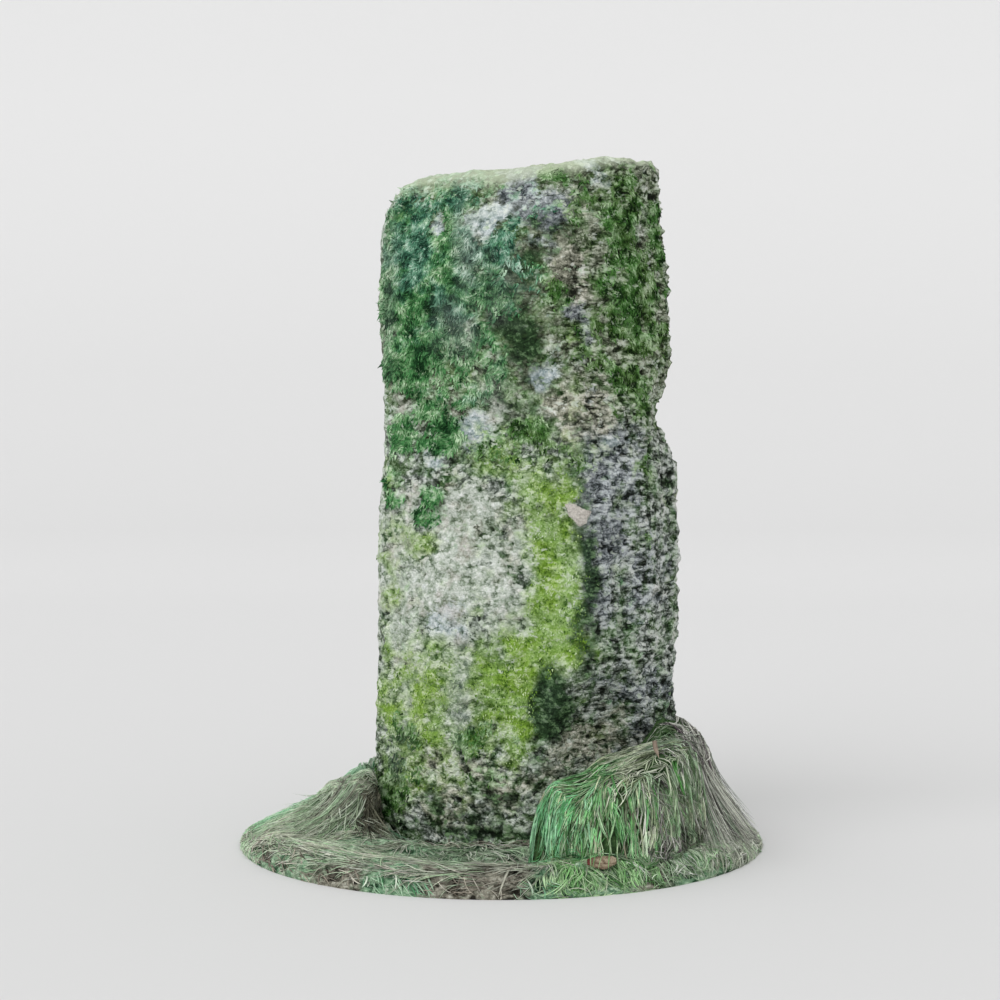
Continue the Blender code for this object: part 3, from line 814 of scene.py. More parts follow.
ground = merged_copy("turf_ground", "turf")
finer(ground, 0.012, 3)
finer(ground, 0.0065, 2, on_the_cut)
earth, earth_out = shape_of(ground.data)
loose = ramp(0.002, 0.02, earth[:, 2]) * ramp(-0.5, 0.0, earth_out[:, 2])
cut = ramp(0.6, 0.2, earth_out[:, 2]) * ramp(0.50, 0.53, np.hypot(earth[:, 0], earth[:, 1]))
lumpy = 0.006 * layered(earth, 0.030, 71) + 0.003 * layered(earth, 0.010, 72, 2)
lumpy += 0.0060 * cut * ridged(earth, (0.026, 0.026, 0.016), 74)
lowered = earth + earth_out * (loose * (lumpy - 0.006))[:, None]
lowered[:, 2] = np.maximum(lowered[:, 2], 0.0)
move_points(ground.data, lowered)
ground.data.shade_smooth()
print(f"turf_ground: {len(ground.data.polygons)} faces")

# %% Soil
RIM_GREEN = [  # green stretches of the cut rim: middle, half width and strength
    (-0.212, 0.060, 1.0), (0.180, 0.080, 1.0), (0.085, 0.035, 0.8), (-0.47, 0.05, 0.8),
    (0.43, 0.10, 0.9),
]
BARE = ((0.10, "26241E"), (0.36, "68665A"), (0.60, "9A988A"), (0.86, "CCCCBE"))
MOSSED = ((0.10, "284830"), (0.36, "62896A"), (0.60, "92B592"), (0.86, "CCDEC6"))
grassy = 0.62 + 0.4 * layered(earth, 0.07, 73, 3)
at_rim = ramp(-0.38, -0.44, earth[:, 1])
along_rim = np.max([s * np.exp(-(((earth[:, 0] - m) / r) ** 4)) for m, r, s in RIM_GREEN], axis=0)
rim_grassy = along_rim + 0.3 * (grassy - 0.62)
store(ground.data, "grassy", grassy * (1 - at_rim) + at_rim * rim_grassy)
# painted shade: the soil darker in the hollows between its lumps
store(ground.data, "hollow", ramp(0.001, -0.0075, lumpy))
soil, tree, shader = new_material("root-bound soil", 0.98)  # dry crumbs, dull all through
mark = held(tree, "grassy", "hollow")
gap, own = crumbs(tree, 7, (1.4, 1.4, 0.8))
lump = weighted(tree, -0.05, (speckle(tree, 14, 4.0), 1.1), (own, 0.30))
lump = weighted(tree, lump, (mark["hollow"], -0.58), (gap, -0.22))
mixed = weighted(tree, mark["grassy"], (speckle(tree, 22), 1.1), (own, 0.25))
bare, mossed = (add(tree, "ShaderNodeValToRGB", {"Fac": lump}, stops) for stops in (BARE, MOSSED))
grown = add(tree, "ShaderNodeMapRange", {"Value": mixed, "From Min": 0.80, "From Max": 1.50})
join(tree, laid_over(tree, bare, (mossed, grown)), shader.inputs["Base Color"])
height = weighted(tree, lump, (gap, -1.0))
bump = add(tree, "ShaderNodeBump", {"Height": height, "Strength": 0.8, "Distance": 0.004})
join(tree, bump, shader.inputs["Normal"])
wear(ground, soil)

# %% [markdown]
# ## Grass
#
# A blade of grass is a path with a width. Each path is walked over the skin of a solid:
# it starts at a root, takes equal steps, and at each step bends a little towards the
# ground and comes back to the skin. A stiff stem spans a small hollow instead of dipping
# into it, and a long one may hang free between two points. The paths become a mesh of
# edges, and a Geometry Nodes tree sweeps a flat three-sided section along them, thinner
# to the tip.

# %% Walk over a skin


def skin_tree(node):
    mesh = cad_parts[node].data
    corners = [v.co.copy() for v in mesh.vertices]
    return BVHTree.FromPolygons(corners, [tuple(p.vertices) for p in mesh.polygons])


turf_skin = skin_tree("turf")
stone_skin = skin_tree("stone")
down = Vector((0, 0, -1))


def turf_at(x, y):
    """Where a plumb line meets the turf, and which way the turf faces there."""
    return turf_skin.ray_cast(Vector((x, y, 1.0)), down)[:2]


def walked(skin_of, start, heading, length, pull, depths, steps=5, curl=0.0):
    """The points of one strand, from root to tip, as it lies on a skin and then on the turf."""
    here, normal, _, _ = skin_of.find_nearest(start)
    along, found = Vector(heading), []
    for i in range(steps):
        share = i / (steps - 1)
        found.append(here - normal * (depths[0] + (depths[1] - depths[0]) * share))
        along = along + down * pull + normal.cross(along) * curl
        along = (along - normal * along.dot(normal)).normalized()
        here, normal, _, _ = skin_of.find_nearest(here + along * (length / (steps - 1)))
        if skin_of is not turf_skin:
            floor_point, floor_normal = turf_at(here.x, here.y)
            if floor_point and floor_point.z > here.z:
                here, normal, skin_of = floor_point, floor_normal, turf_skin
    return found


def bridged(path):
    """Stiff stems span a hollow: each point rises to the line between its neighbours."""
    for _ in range(3):
        for before, point, after in zip(path, path[1:], path[2:]):
            point.z = max(point.z, 0.5 * (before.z + after.z))
    return path


TURF_RADIUS, RIM_REACH = 0.55, 0.548
HUNG_STEPS = 6


def hung(start, end, belly):
    """A stem between two points, lower in its middle by its belly, but never in the turf."""
    reach = min(1.0, RIM_REACH / math.hypot(end.x, end.y))
    end = Vector((end.x * reach, end.y * reach, end.z))
    shares = [i / HUNG_STEPS for i in range(HUNG_STEPS + 1)]
    path = [start.lerp(end, share) for share in shares]
    for share, point in zip(shares, path):
        floor_point = turf_at(point.x, point.y)[0]
        point.z -= 4 * belly * share * (1 - share)
        point.z = max(point.z, floor_point.z + 0.001 if floor_point else 0.002)
    return path


def strands(name, paths):
    """One mesh of edges from many (points, half width, colour) paths."""
    points, edges, girth, tint = [], [], [], []
    for path, half_width, colour in paths:
        first, last = len(points), len(path) - 1
        for i, point in enumerate(path):
            share = i / last
            points.append(point)
            girth.append(half_width * (0.9 + 0.4 * share - 1.2 * share**3))
            # each strand darker at its root and lighter to its tip: partly painted shade low in
            # the grass, partly the paler dry tips
            lit = min(0.66 + 0.52 * share, 0.80 / max(colour))
            tint.append([c * lit for c in colour])
        edges += [(k, k + 1) for k in range(first, first + last)]
    mesh = bpy.data.meshes.new(name)
    mesh.from_pydata(points, edges, [])
    store(mesh, "girth", girth)
    store(mesh, "tint", tint)
    return new_piece(name, mesh)


# %% A tree that sweeps blades
blades, given, result = new_tree("grass blades", Flatness=0.45, Finish=None)
paths = add(blades, "GeometryNodeMeshToCurve", {"Mesh": given["Geometry"]})
girth = add(blades, "GeometryNodeInputNamedAttribute", {"Name": "girth"}, data_type="FLOAT")
section = add(
    blades, "GeometryNodeCurvePrimitiveCircle", {"Resolution": 3, "Radius": 1.0}, mode="RADIUS"
)
flat = add(blades, "ShaderNodeCombineXYZ", {"X": 1.0, "Y": given["Flatness"], "Z": 1.0})
pressed = add(blades, "GeometryNodeTransform", {"Geometry": section, "Scale": flat})
inputs = {"Curve": paths, "Profile Curve": pressed, "Scale": girth, "Fill Caps": True}
swept = add(blades, "GeometryNodeCurveToMesh", inputs)
end_tree(blades, swept, given, result)


def grass_material(name, roughness):
    """Grass of any age: each strand's own tint, in streaks a little lighter or darker."""
    material, tree, shader = new_material(name, roughness)
    tint = add(tree, "ShaderNodeAttribute", attribute_name="tint").outputs["Color"]
    streak = blotches(tree, 12, 2.0, 0.3, 0.7, 0.70, 1.20)
    grey = add(tree, "ShaderNodeCombineColor", {0: streak, 1: streak, 2: streak})
    inputs = {"Factor": 1.0, "A": tint, "B": grey}
    colour = add(tree, "ShaderNodeMix", inputs, data_type="RGBA", blend_type="MULTIPLY")
    join(tree, colour, shader.inputs["Base Color"])
    return material


living = grass_material("grass blades", 0.65)  # a faint sheen along each blade

# %% [markdown]
# Grass stands in locks: blades that root side by side and whose tips draw together, as
# wet hair does. The gaps between the locks are dark, and each lock has a tone of its own.
# A strand that roots deeper is darker, because less light gets down to it.

# %% One strand, one lock
chance = np.random.default_rng(12)


def about(spread_by):
    """A small chance turn, to add to a heading."""
    return Vector(chance.normal(0, spread_by, 3))


def picked(palette):
    """A colour from (weight, hex code) pairs, a little lighter or darker by chance."""
    weights = np.array([weight for weight, _ in palette], float)
    code = palette[chance.choice(len(palette), p=weights / weights.sum())][1]
    shade = chance.uniform(0.75, 1.3)
    return [c * shade for c in linear(code)]


def sprout(skin_of, start, heading, length, pull, width, colour, deepest, steps=5, bend=0.20):
    """One strand: its points, half width and colour."""
    depth = chance.uniform()
    lie = 0.003 - 0.008 * (1 - depth) * chance.uniform(0.4, 1.0)
    depths = (deepest * (0.15 + 0.85 * depth), lie)
    points = walked(skin_of, start, heading, length, pull, depths, steps, chance.normal(0, bend))
    return points, width, [c * (1.36 - 0.70 * depth) for c in colour]


DRAWN_IN = 0.55  # how far the tips of a lock draw together, from 0 to 1


def lock(skin_of, start, heading, length, pull, widths, palette, count, steps=5):
    """Strands that root side by side and draw together at their tips."""
    curl, shared, raised = chance.normal(0, 0.14), picked(palette), chance.uniform(0.62, 1.30)
    middle = walked(skin_of, start, heading, length, pull, (0.004, 0.001), steps, curl)
    found = []
    for _ in range(count):
        root, turned = start + about(0.007), heading + about(0.20)
        long, width = length * chance.uniform(0.6, 1.15), chance.uniform(*widths)
        tint = [raised * (0.30 * a + 0.70 * b) for a, b in zip(picked(palette), shared)]
        path, _, tint = sprout(skin_of, root, turned, long, pull, width, tint, 0.011, steps)
        pairs = enumerate(zip(path, middle))
        drawn = [point.lerp(m, DRAWN_IN * i / (steps - 1)) for i, (point, m) in pairs]
        found.append((drawn, width, tint))
    return found


# %% [markdown]
# ### Short grass on the turf
#
# The strands on the banks run outwards and down, as trodden grass does, and at the front
# the dead ones lie level along the rim. Their direction drifts slowly, which is what
# makes them look combed, and green and dead ones keep to clumps of their own.

# %% What grows where
MINT = [(5, "D0E4C6"), (4, "B8D4B0"), (2, "8CAC86"), (3, "DCE4D2"), (1, "ECF0E4")]
STRAW = [(4, "CACFBE"), (4, "B4B9A6"), (2, "8F9382"), (1, "E8EBE0"), (2, "A4BA98"), (1, "ADA39C")]
FRESH = [(4, "7EB070"), (3, "9AC48A"), (3, "BCD8AC"), (2, "4C7C44"), (1, "D8E2C8")]
PALE = [(4, "D4D8CA"), (3, "B8BEAC"), (2, "959C8A"), (1, "F0F2EA"), (1, "A6B69A")]
CHALKY = [(4, "CCE0C2"), (3, "A8C69E"), (3, "80A478"), (1, "F0F4EA"), (1, "5C8054")]
ROOTS = [(3, "8C8578"), (3, "ABA596"), (2, "565045"), (1, "C8C4B6")]
SILK = [(4, "B8D6B8"), (3, "98BE9C"), (2, "74A480"), (1, "D6E2CF"), (1, "4E8A5C")]
EMERALD = [
    (4, "82C894"), (4, "66A870"), (2, "4A8A52"), (3, "A6D8B0"), (1, "2F6438"), (1, "C4D6B4"),
    (1, "9C9A80"), (1, "5E7A48"),
]


def turf_palette(x, y, level, tone):
    """What grows at a place on the turf."""
    if x < -0.22 and y > 0.0:
        return SILK
    if y < -0.33 and x > 0.10:
        return FRESH if x < 0.30 else CHALKY
    if x > 0.36:
        return PALE
    if level > 0.5:
        return MINT if tone > 0.25 else STRAW
    return MINT if tone > -0.25 else STRAW


def rim_palette(x, y):
    """What lies on the cut rim at a place."""
    if y > -0.25:
        return MINT if chance.uniform() < 0.6 else STRAW
    if x < -0.29 or -0.145 < x < 0.02:
        return ROOTS
    return SILK if x < 0.10 else FRESH if x < 0.30 else CHALKY if y < -0.30 else PALE


# %% Mat of strands
TRIES = 24000
FRONT_STRANDS, BACK_STRANDS = 4900, 2000
radius = TURF_RADIUS * np.sqrt(chance.uniform(0.08, 0.985, TRIES))
turn = chance.uniform(-math.pi, math.pi, TRIES)
roots = np.stack([radius * np.cos(turn), radius * np.sin(turn), np.zeros(TRIES)], axis=1)
drift = smooth_noise(roots, 0.13, 91) + 0.7 * smooth_noise(roots, 0.045, 92)
clump = layered(roots, 0.07, 93, 2)
dips = layered(roots, 0.045, 96, 2)
front_mat, back_mat = [], []
for (x, y, _), swirl, tone, dip in zip(roots, drift, clump, dips):
    half, most = (front_mat, FRONT_STRANDS) if y < 0.08 else (back_mat, BACK_STRANDS)
    root = turf_at(x, y)[0]
    if len(half) >= most or root is None or root.z < 0.003:
        continue
    if stone_skin.find_nearest(root)[3] < 0.012 and root.z > 0.10:
        continue
    outward = Vector((x, y, 0)).normalized()
    around = Vector((-outward.y, outward.x, 0))
    near_rim = ramp(0.43, 0.50, math.hypot(x, y)) * ramp(-0.12, -0.22, y) * ramp(0.12, 0.04, x)
    level = max(ramp(-0.20, -0.34, y) * ramp(0.08, -0.02, x), near_rim)
    heading = outward * (1.1 - level) + around * (1.0 * swirl - 1.2 * level) + about(0.13)
    length = chance.uniform(0.035, 0.090) * (1 - 0.3 * near_rim)
    width = chance.uniform(0.0008, 0.0018)
    # painted light and shade: strands lighter to the left of the turf and darker in its dips
    light = (1.40 - 0.58 * ramp(-0.32, -0.14, x)) * (1.10 - 0.50 * ramp(0.0, 0.7, dip))
    colour = [c * light for c in picked(turf_palette(x, y, level, tone))]
    hollow = 0.005 + 0.011 * ramp(0.0, 0.6, dip)
    half.append(sprout(turf_skin, root, heading, length, 0.08, width, colour, hollow, bend=0.10))

# %% The rim
RIM_STRANDS, RIM_LOCKS, EDGE_STRANDS = 1250, 170, 110
rim = []
for turn in chance.uniform(-math.pi, math.pi, RIM_STRANDS):  # roots and stems on the cut itself
    start = Vector((0.56 * math.cos(turn), 0.56 * math.sin(turn), chance.uniform(0.004, 0.050)))
    palette, level_way = rim_palette(start.x, start.y), Vector((-start.y, start.x, 0)).normalized()
    heading = level_way * chance.choice((-1, 1)) + about(0.5)
    if palette is SILK:
        heading = level_way - 1.1 * Vector((0, 0, 1)) + about(0.15)
    length, width = chance.uniform(0.020, 0.045), chance.uniform(0.0011, 0.0026)
    rim.append(sprout(turf_skin, start, heading, length, 0.05, width, picked(palette), 0.008))
for turn in chance.uniform(-1.44, -0.12, RIM_LOCKS):  # tufts on the right of the front
    edge = chance.uniform(0.450, 0.546)
    x, y = edge * math.cos(turn), edge * math.sin(turn)
    outward = Vector((x, y, 0)).normalized()
    heading = chance.uniform(0.3, 1.2) * outward
    heading += Vector((-outward.y, outward.x, 0)) * chance.normal(0.2, 0.7)
    side = x + chance.normal(0, 0.03)
    palette = FRESH if side < 0.28 else CHALKY if side < 0.43 else PALE
    root, length = turf_at(x, y)[0], chance.uniform(0.030, 0.070)
    rim += lock(turf_skin, root, heading, length, 0.16, (0.0012, 0.0030), palette, 8)
for turn in chance.uniform(-math.pi, -1.62, EDGE_STRANDS):  # dead stems along the upper edge
    edge = chance.uniform(0.524, 0.539)
    x, y = edge * math.cos(turn), edge * math.sin(turn)
    heading = Vector((y, -x, 0)).normalized() + about(0.12)
    length, width = chance.uniform(0.05, 0.10), chance.uniform(0.0010, 0.0020)
    root = turf_at(x, y)[0]
    rim.append(sprout(turf_skin, root, heading, length, 0.0, width, picked(STRAW), 0.0))
print(f"{len(front_mat)} strands in front, {len(back_mat)} behind, {len(rim)} on the rim")

# %% [markdown]
# At the foot of the stone, where rain runs off, loose stems and roots are washed up
# against the rock and hide the line between the two. Two pale roots cross the cut rim,
# and a few blades of grass lie over the fallen leaf.

# %% Stems against the stone, two roots, and blades over the leaf
FOOT_STEMS, MOST_CLIMB = 900, 0.028
SHARES = (0.0, 0.25, 0.5, 0.75, 1.0)
for turn in chance.uniform(-math.pi, math.pi, FOOT_STEMS):
    far = Vector((0.9 * math.cos(turn), 0.9 * math.sin(turn), 0.03))
    rock, rock_out, _, _ = stone_skin.find_nearest(far)
    level_out = Vector((rock_out.x, rock_out.y, 0)).normalized()
    root = rock + level_out * chance.uniform(0.001, 0.022)
    along = Vector((-level_out.y, level_out.x, 0)) * chance.choice((-1, 1))
    along += level_out * chance.uniform(-0.1, 0.6)
    length, rise = chance.uniform(0.025, 0.070), chance.uniform(0.003, 0.014)
    start = turf_at(root.x, root.y)[0]
    if start is None:
        continue
    points = []
    for share in SHARES:
        point = start + along * length * share
        below = turf_at(point.x, point.y)[0]
        point.z = (below.z if below else point.z) + rise * math.sin(math.pi * share) - 0.002
        points.append(point)
    heights = [point.z for point in points]
    if max(heights) - min(heights) > MOST_CLIMB:
        continue
    palette = (STRAW, ROOTS, MINT)[chance.choice(3, p=(0.45, 0.35, 0.20))]
    if root.x < -0.2 and root.y > -0.1:
        palette = SILK
    half = front_mat if root.y < 0.08 else back_mat
    half.append((points, chance.uniform(0.0009, 0.0020), picked(palette)))
ROOTS_OVER_THE_RIM = (((0.050, -0.500), (-0.75, -0.35, 0)), ((0.020, -0.505), (-0.20, -0.60, 0)))
for start, heading in ROOTS_OVER_THE_RIM:
    points = walked(turf_skin, turf_at(*start)[0], heading, 0.080, 0.12, (0.001, -0.002))
    rim.append((points, 0.0034, linear("C0C0B0")))
for x in (0.160, 0.171, 0.184, 0.197, 0.209, 0.221):  # over the fallen leaf
    slant, width = chance.uniform(-0.014, 0.014), chance.uniform(0.0010, 0.0017)
    points = [
        Vector((x + slant * share, -0.458 - 0.056 * share, 0.071 - 0.022 * share**2))
        for share in SHARES
    ]
    rim.append((points, width, picked(FRESH)))
turf_grass = grow(strands("turf_grass", front_mat), blades, Flatness=0.5, Finish=living)
turf_back_grass = grow(strands("turf_back_grass", back_mat), blades, Flatness=0.5, Finish=living)
rim_grass = grow(strands("rim_grass", rim), blades, Flatness=0.5, Finish=living)

# %% [markdown]
# ### Tussocks
#
# Long grass that is never cut falls over on itself: the blades rise out of the crown and
# hang down the sides like a thatch. So most roots are on the upper part of the solid, the
# locks head away from the middle, and their pull is straight down. A dark green heart
# under the blades closes the gaps with painted shade, the colour of grass deep in shadow.
# Here and there the thatch has sunk a little below its solid.

# %% How far each tussock has sunk


def green_sag(x, z):
    """The green tussock has a shelf on its left, a hand lower than its crown."""
    shelf = ramp(0.100, 0.150, x) * (1 - 0.5 * ramp(0.165, 0.200, x))
    return 0.030 * shelf * ramp(0.06, 0.20, z)


def dry_sag(x, z):
    return 0.050 * ramp(0.345, 0.285, x) * ramp(0.12, 0.24, z)


def left_sag(x, z):
    return 0.014 * np.exp(-(((x + 0.325) / 0.035) ** 2)) * ramp(0.09, 0.15, z)


# %% Hearts and thatch


def heart(name, node, inset, sag, material):
    """The inside of a tussock, its solid drawn in, which shows as painted shade between the
    blades.
    """
    piece = merged_copy(name, node)
    finer(piece, 0.02, 1)
    points, normals = shape_of(piece.data)
    points -= normals * (inset + 0.003 * layered(points, 0.02, 5, 2))[:, None]
    points[:, 2] -= sag(points[:, 0], points[:, 2])
    move_points(piece.data, points)
    piece.data.shade_smooth()
    wear(piece, material)
    return piece


def thatched(
    node, locks, count, lengths, widths, pull, palette_at, heading_at, sag, wanted, steps=5
):
    """Locks of this many strands that hang over a tussock, rooted where they are wanted."""
    skin_of = skin_tree(node)
    low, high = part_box(node)
    found = []
    while len(found) < locks * count:
        place_in_box = Vector([chance.uniform(a, b) for a, b in zip(low, high)])
        here, normal, _, _ = skin_of.find_nearest(place_in_box)
        share = (here.z - low.z) / (high.z - low.z)
        beside = stone_skin.find_nearest(here)[3] < 0.006
        if beside or normal.z < -0.1 or not wanted(here, share):
            continue
        heading, length = heading_at(here) + about(0.34), chance.uniform(*lengths)
        found += lock(skin_of, here, heading, length, pull, widths, palette_at(here), count, steps)
    for path, _, _ in found:
        for point in path:
            point.z -= float(sag(point.x, point.z))
    return found


# %% What the grass of the tussocks looks like
GREEN = [
    (4, "88C488"), (4, "68A060"), (3, "A8CCA0"), (3, "41703C"),
    (2, "C0C8A8"), (1, "7A8A64"), (1, "DCE6CE"), (1, "4C8A40"), (1, "A09484"), (1, "2C5028"),
]
GREYED = [
    (3, "ACC4A4"), (3, "88A680"), (2, "B8BCA6"), (2, "6C7E5E"), (2, "4E6A44"), (1, "D8E0CC"),
]
CROWN = [(3, "DCE2CC"), (3, "B8C6A8"), (3, "96A882"), (1, "66744E"), (1, "EEF2E2")]
DRY = [
    (3, "AEB0A4"), (4, "D8DACF"), (2, "6C6A65"), (2, "EEF0E6"), (1, "8CA488"), (3, "2A2624"),
    (2, "6E6068"),
]
LEFT = [
    (4, "C8CDBA"), (3, "A8AC98"), (2, "7E7F70"), (2, "E0E4D6"), (2, "9CB692"), (1, "565A4A"),
]
# painted shade: dim grey strands for the shaded hollow under the left mound, beside the stone
SHADED_HOLLOW = [(3, "7A7A68"), (3, "4C4C40"), (2, "A09C8C"), (1, "2E2E24")]
# painted shade: the heart's dark greens stand for grass in shadow, seen through the gaps
GAP_SHADE_TONES = ((0.3, "22361E"), (0.6, "446038"), (0.8, "708258"))
gap_shade, tree, shader = new_material("painted shade between blades", 0.98)  # dark and dull, seen through gaps
dull = add(tree, "ShaderNodeValToRGB", {"Fac": speckle(tree, 8)}, GAP_SHADE_TONES)
join(tree, dull, shader.inputs["Base Color"])

# %% Where the locks of each kind root


def on_crown(here, share=0):
    """Whether a root is on the matted crown of the green tussock, which climbs to the right."""
    return here.x > 0.222 and here.z > 0.196 + 0.34 * (here.x - 0.2)


def on_flanks(here, share):
    return not on_crown(here) and chance.uniform() < 0.45 + share


def sweeping(here, share):
    """The right end of the green tussock, whose blades sweep on to the right."""
    return here.x > 0.27 and chance.uniform() < 0.4 + share


def at_foot(here, share):
    return share < 0.20 and here.y < -0.25 and here.x > 0.08


def near_the_top(here, share):
    return share > 0.35 and chance.uniform() < 0.25 + share


def anywhere(here, share):
    return share > 0.05 and not (here.x > -0.275 and here.z < 0.11)


def upper_side(here, share):
    """The ridge that the left mound's long stems leave from."""
    return here.z > 0.100 - 0.2 * (here.x + 0.27)


def by_the_stone(here, share):
    return here.x > -0.350 and here.z < 0.115 and here.y < -0.02


# %% Which colours they take


def green_palette(here):
    edge = here.x + chance.normal(0, 0.03)
    return EMERALD if edge < 0.14 else GREEN if edge < 0.31 else GREYED


def sweep_palette(here):
    return DRY if chance.uniform() < 0.5 else GREYED


def crown_palette(here):
    return CROWN if chance.uniform() < 0.8 else GREYED


def dry_palette(here):
    return DRY if here.x > 0.33 or chance.uniform() < 0.4 else GREYED


def left_palette(here):
    if here.z < 0.095 and here.x > -0.35 and here.y < -0.02:
        return SHADED_HOLLOW
    beige = here.x > -0.34 + chance.normal(0, 0.012) and here.y < 0.01
    return LEFT if beige and here.z < 0.148 else MINT


def flow_palette(here):
    return SHADED_HOLLOW if here.y < -0.05 and chance.uniform() < 0.3 else MINT


def hollow_palette(here):
    return SHADED_HOLLOW


# %% Which way they head


def green_heading(here):
    return Vector((0.8 * (here.x - 0.20) / 0.16, -0.35, -1.0))


def sweep_heading(here):
    return Vector((1.0, -0.30, -0.35))


def crown_heading(here):
    return Vector((-0.9 if chance.uniform() < 0.7 else 0.6, -0.5, -0.1))


def foot_heading(here):
    return Vector((chance.normal(0.1, 0.5), -0.8, -0.4))


def dry_heading(here):
    return Vector((0.8, -0.45, 0.0))


def left_heading(here):
    return Vector((-1.0, 0.0, -0.05))


def flow_heading(here):
    return Vector((-1.0, -0.12 - 1.5 * max(-here.y, 0.0), -0.1))


def hollow_heading(here):
    return Vector((-0.4, -0.8, -0.3)) + about(0.4)


# %% Three tussocks
WIDE, SLENDER, FINE = (0.0014, 0.0034), (0.0011, 0.0025), (0.0009, 0.0019)
green_paths, left_paths = [], []
for locks, count, lengths, widths, pull, palette_at, heading_at, wanted in (
    (480, 7, (0.035, 0.085), WIDE, 0.5, green_palette, green_heading, on_flanks),
    (950, 1, (0.050, 0.110), WIDE, 0.6, green_palette, green_heading, on_flanks),
    (120, 7, (0.140, 0.240), SLENDER, 0.16, sweep_palette, sweep_heading, sweeping),
    (120, 6, (0.035, 0.065), SLENDER, 0.12, crown_palette, crown_heading, on_crown),
    (55, 7, (0.060, 0.100), WIDE, 0.10, green_palette, foot_heading, at_foot),
):
    green_paths += thatched(
        "green_tussock", locks, count, lengths, widths, pull,
        palette_at, heading_at, green_sag, wanted,
    )
dry_paths = thatched(
    "dry_tussock", 175, 8, (0.20, 0.38), SLENDER, 0.17,
    dry_palette, dry_heading, dry_sag, near_the_top, 7,
)
for locks, lengths, palette_at, heading_at, wanted, steps in (
    (140, (0.03, 0.07), left_palette, left_heading, anywhere, 5),
    (40, (0.10, 0.20), flow_palette, flow_heading, upper_side, 7),
    (90, (0.03, 0.07), hollow_palette, hollow_heading, by_the_stone, 5),
):
    left_paths += thatched(
        "left_tussock", locks, 6, lengths, FINE, 0.0,
        palette_at, heading_at, left_sag, wanted, steps,
    )

# %% [markdown]
# The longest stems leave the thatch altogether: they root high on a tussock and their
# tips rest on the turf, so that they hang between the two like a slack rope. Without
# them a tussock would end in a hard line where its solid does.

# %% Stems that hang from a tussock to the turf
STEMS_IN_A_LOCK, ROOT_DEPTH = 6, 0.007
HANGING = (  # count, turns about the middle, x and z of the roots, reach of the tips, belly
    ("dry_tussock", 95, (-0.66, 0.10), (0.36, 0.46), (0.13, 0.25), (0.480, 0.538),
     (0.024, 0.038), (DRY, PALE), dry_paths),
    ("left_tussock", 80, (-3.05, -2.58), (-0.36, -0.265), (0.08, 0.14), (0.36, 0.47),
     (0.024, 0.036), (MINT, LEFT), left_paths),
    ("left_tussock", 34, (-2.78, -2.45), (-0.35, -0.265), (0.03, 0.09), (0.28, 0.38),
     (0.006, 0.016), (SHADED_HOLLOW, STRAW), left_paths),
)
for node, count, turns, across, heights, edge, belly, (usual, other), paths in HANGING:
    skin_of = skin_tree(node)
    for turn in chance.uniform(*turns, count):
        reach = chance.uniform(*edge)
        x, y = reach * math.cos(turn), reach * math.sin(turn)
        high_end = Vector((chance.uniform(*across), 0.50 * y + 0.02, chance.uniform(*heights)))
        palette = usual if chance.uniform() < 0.65 else other
        shared, end = picked(palette), turf_at(x, y)[0]
        for _ in range(STEMS_IN_A_LOCK):
            colour = [0.3 * a + 0.7 * b for a, b in zip(picked(palette), shared)]
            start, normal, _, _ = skin_of.find_nearest(high_end + about(0.008))
            start = start - ROOT_DEPTH * normal
            path = hung(start, end + about(0.014), chance.uniform(*belly))
            paths.append((path, chance.uniform(0.0010, 0.0022), colour))

# %% Make the tussocks
green_paths, dry_paths, left_paths = (
    [(bridged(path), width, colour) for path, width, colour in paths]
    for paths in (green_paths, dry_paths, left_paths)
)
# A second dead leaf was caught upright in the long grass, and is no bigger than a blade.
UPRIGHT_LEAF = ((0.303, -0.335, 0.267), (0.305, -0.350, 0.253), (0.309, -0.362, 0.238))
green_paths.append(([Vector(point) for point in UPRIGHT_LEAF], 0.0066, linear("A09080")))
green_blades = grow(strands("green_blades", green_paths), blades, Flatness=0.35, Finish=living)
dry_blades = grow(strands("dry_blades", dry_paths), blades, Flatness=0.4, Finish=living)
left_blades = grow(strands("left_blades", left_paths), blades, Flatness=0.45, Finish=living)
green_heart = heart("green_heart", "green_tussock", 0.010, green_sag, gap_shade)
dry_heart = heart("dry_heart", "dry_tussock", 0.009, dry_sag, gap_shade)
left_heart = heart("left_heart", "left_tussock", 0.007, left_sag, gap_shade)

# %% [markdown]
# ## The fallen leaf
#
# The solid already has the leaf's outline, its curl and its thickness. It only needs the
# brown of dead beech: russet between the veins and darker where it has begun to rot.

# %% Leaf
LEAF_MIDDLE, RIB_SLOPE, VEIN_SLANT = (0.192, -0.485, 0.0), 0.21, 0.9
VEIN_TURN = 1100.0  # in radians for each metre, so a side vein every 5.7 mm
LEAF_BROWNS = ((0.05, "3A2C26"), (0.30, "6C5A49"), (0.46, "8A7A66"), (0.62, "AC9E88"))
russet, tree, shader = new_material("dead leaf", 0.7)  # papery, with a trace of its old wax
here = add(tree, "ShaderNodeTexCoord").outputs["Object"]
centred = add(tree, "ShaderNodeVectorMath", {0: here, 1: LEAF_MIDDLE}, operation="SUBTRACT")
along = add(tree, "ShaderNodeSeparateXYZ", {"Vector": centred}).outputs
slanted = weighted(tree, along["Y"], (along["X"], -RIB_SLOPE))
off_rib = add(tree, "ShaderNodeMath", {0: slanted}, operation="ABSOLUTE")
dark_parts = [
    add(tree, "ShaderNodeMapRange", {
        "Value": off_rib, "From Min": low, "From Max": high, "To Min": at_low, "To Max": at_high
    })
    for low, high, at_low, at_high in ((0.0004, 0.0016, 0.16, 0.0), (0.010, 0.018, 0.0, 0.22))
]
across = weighted(tree, along["X"], (off_rib, -VEIN_SLANT))
turns = weighted(tree, 0.0, (across, VEIN_TURN))
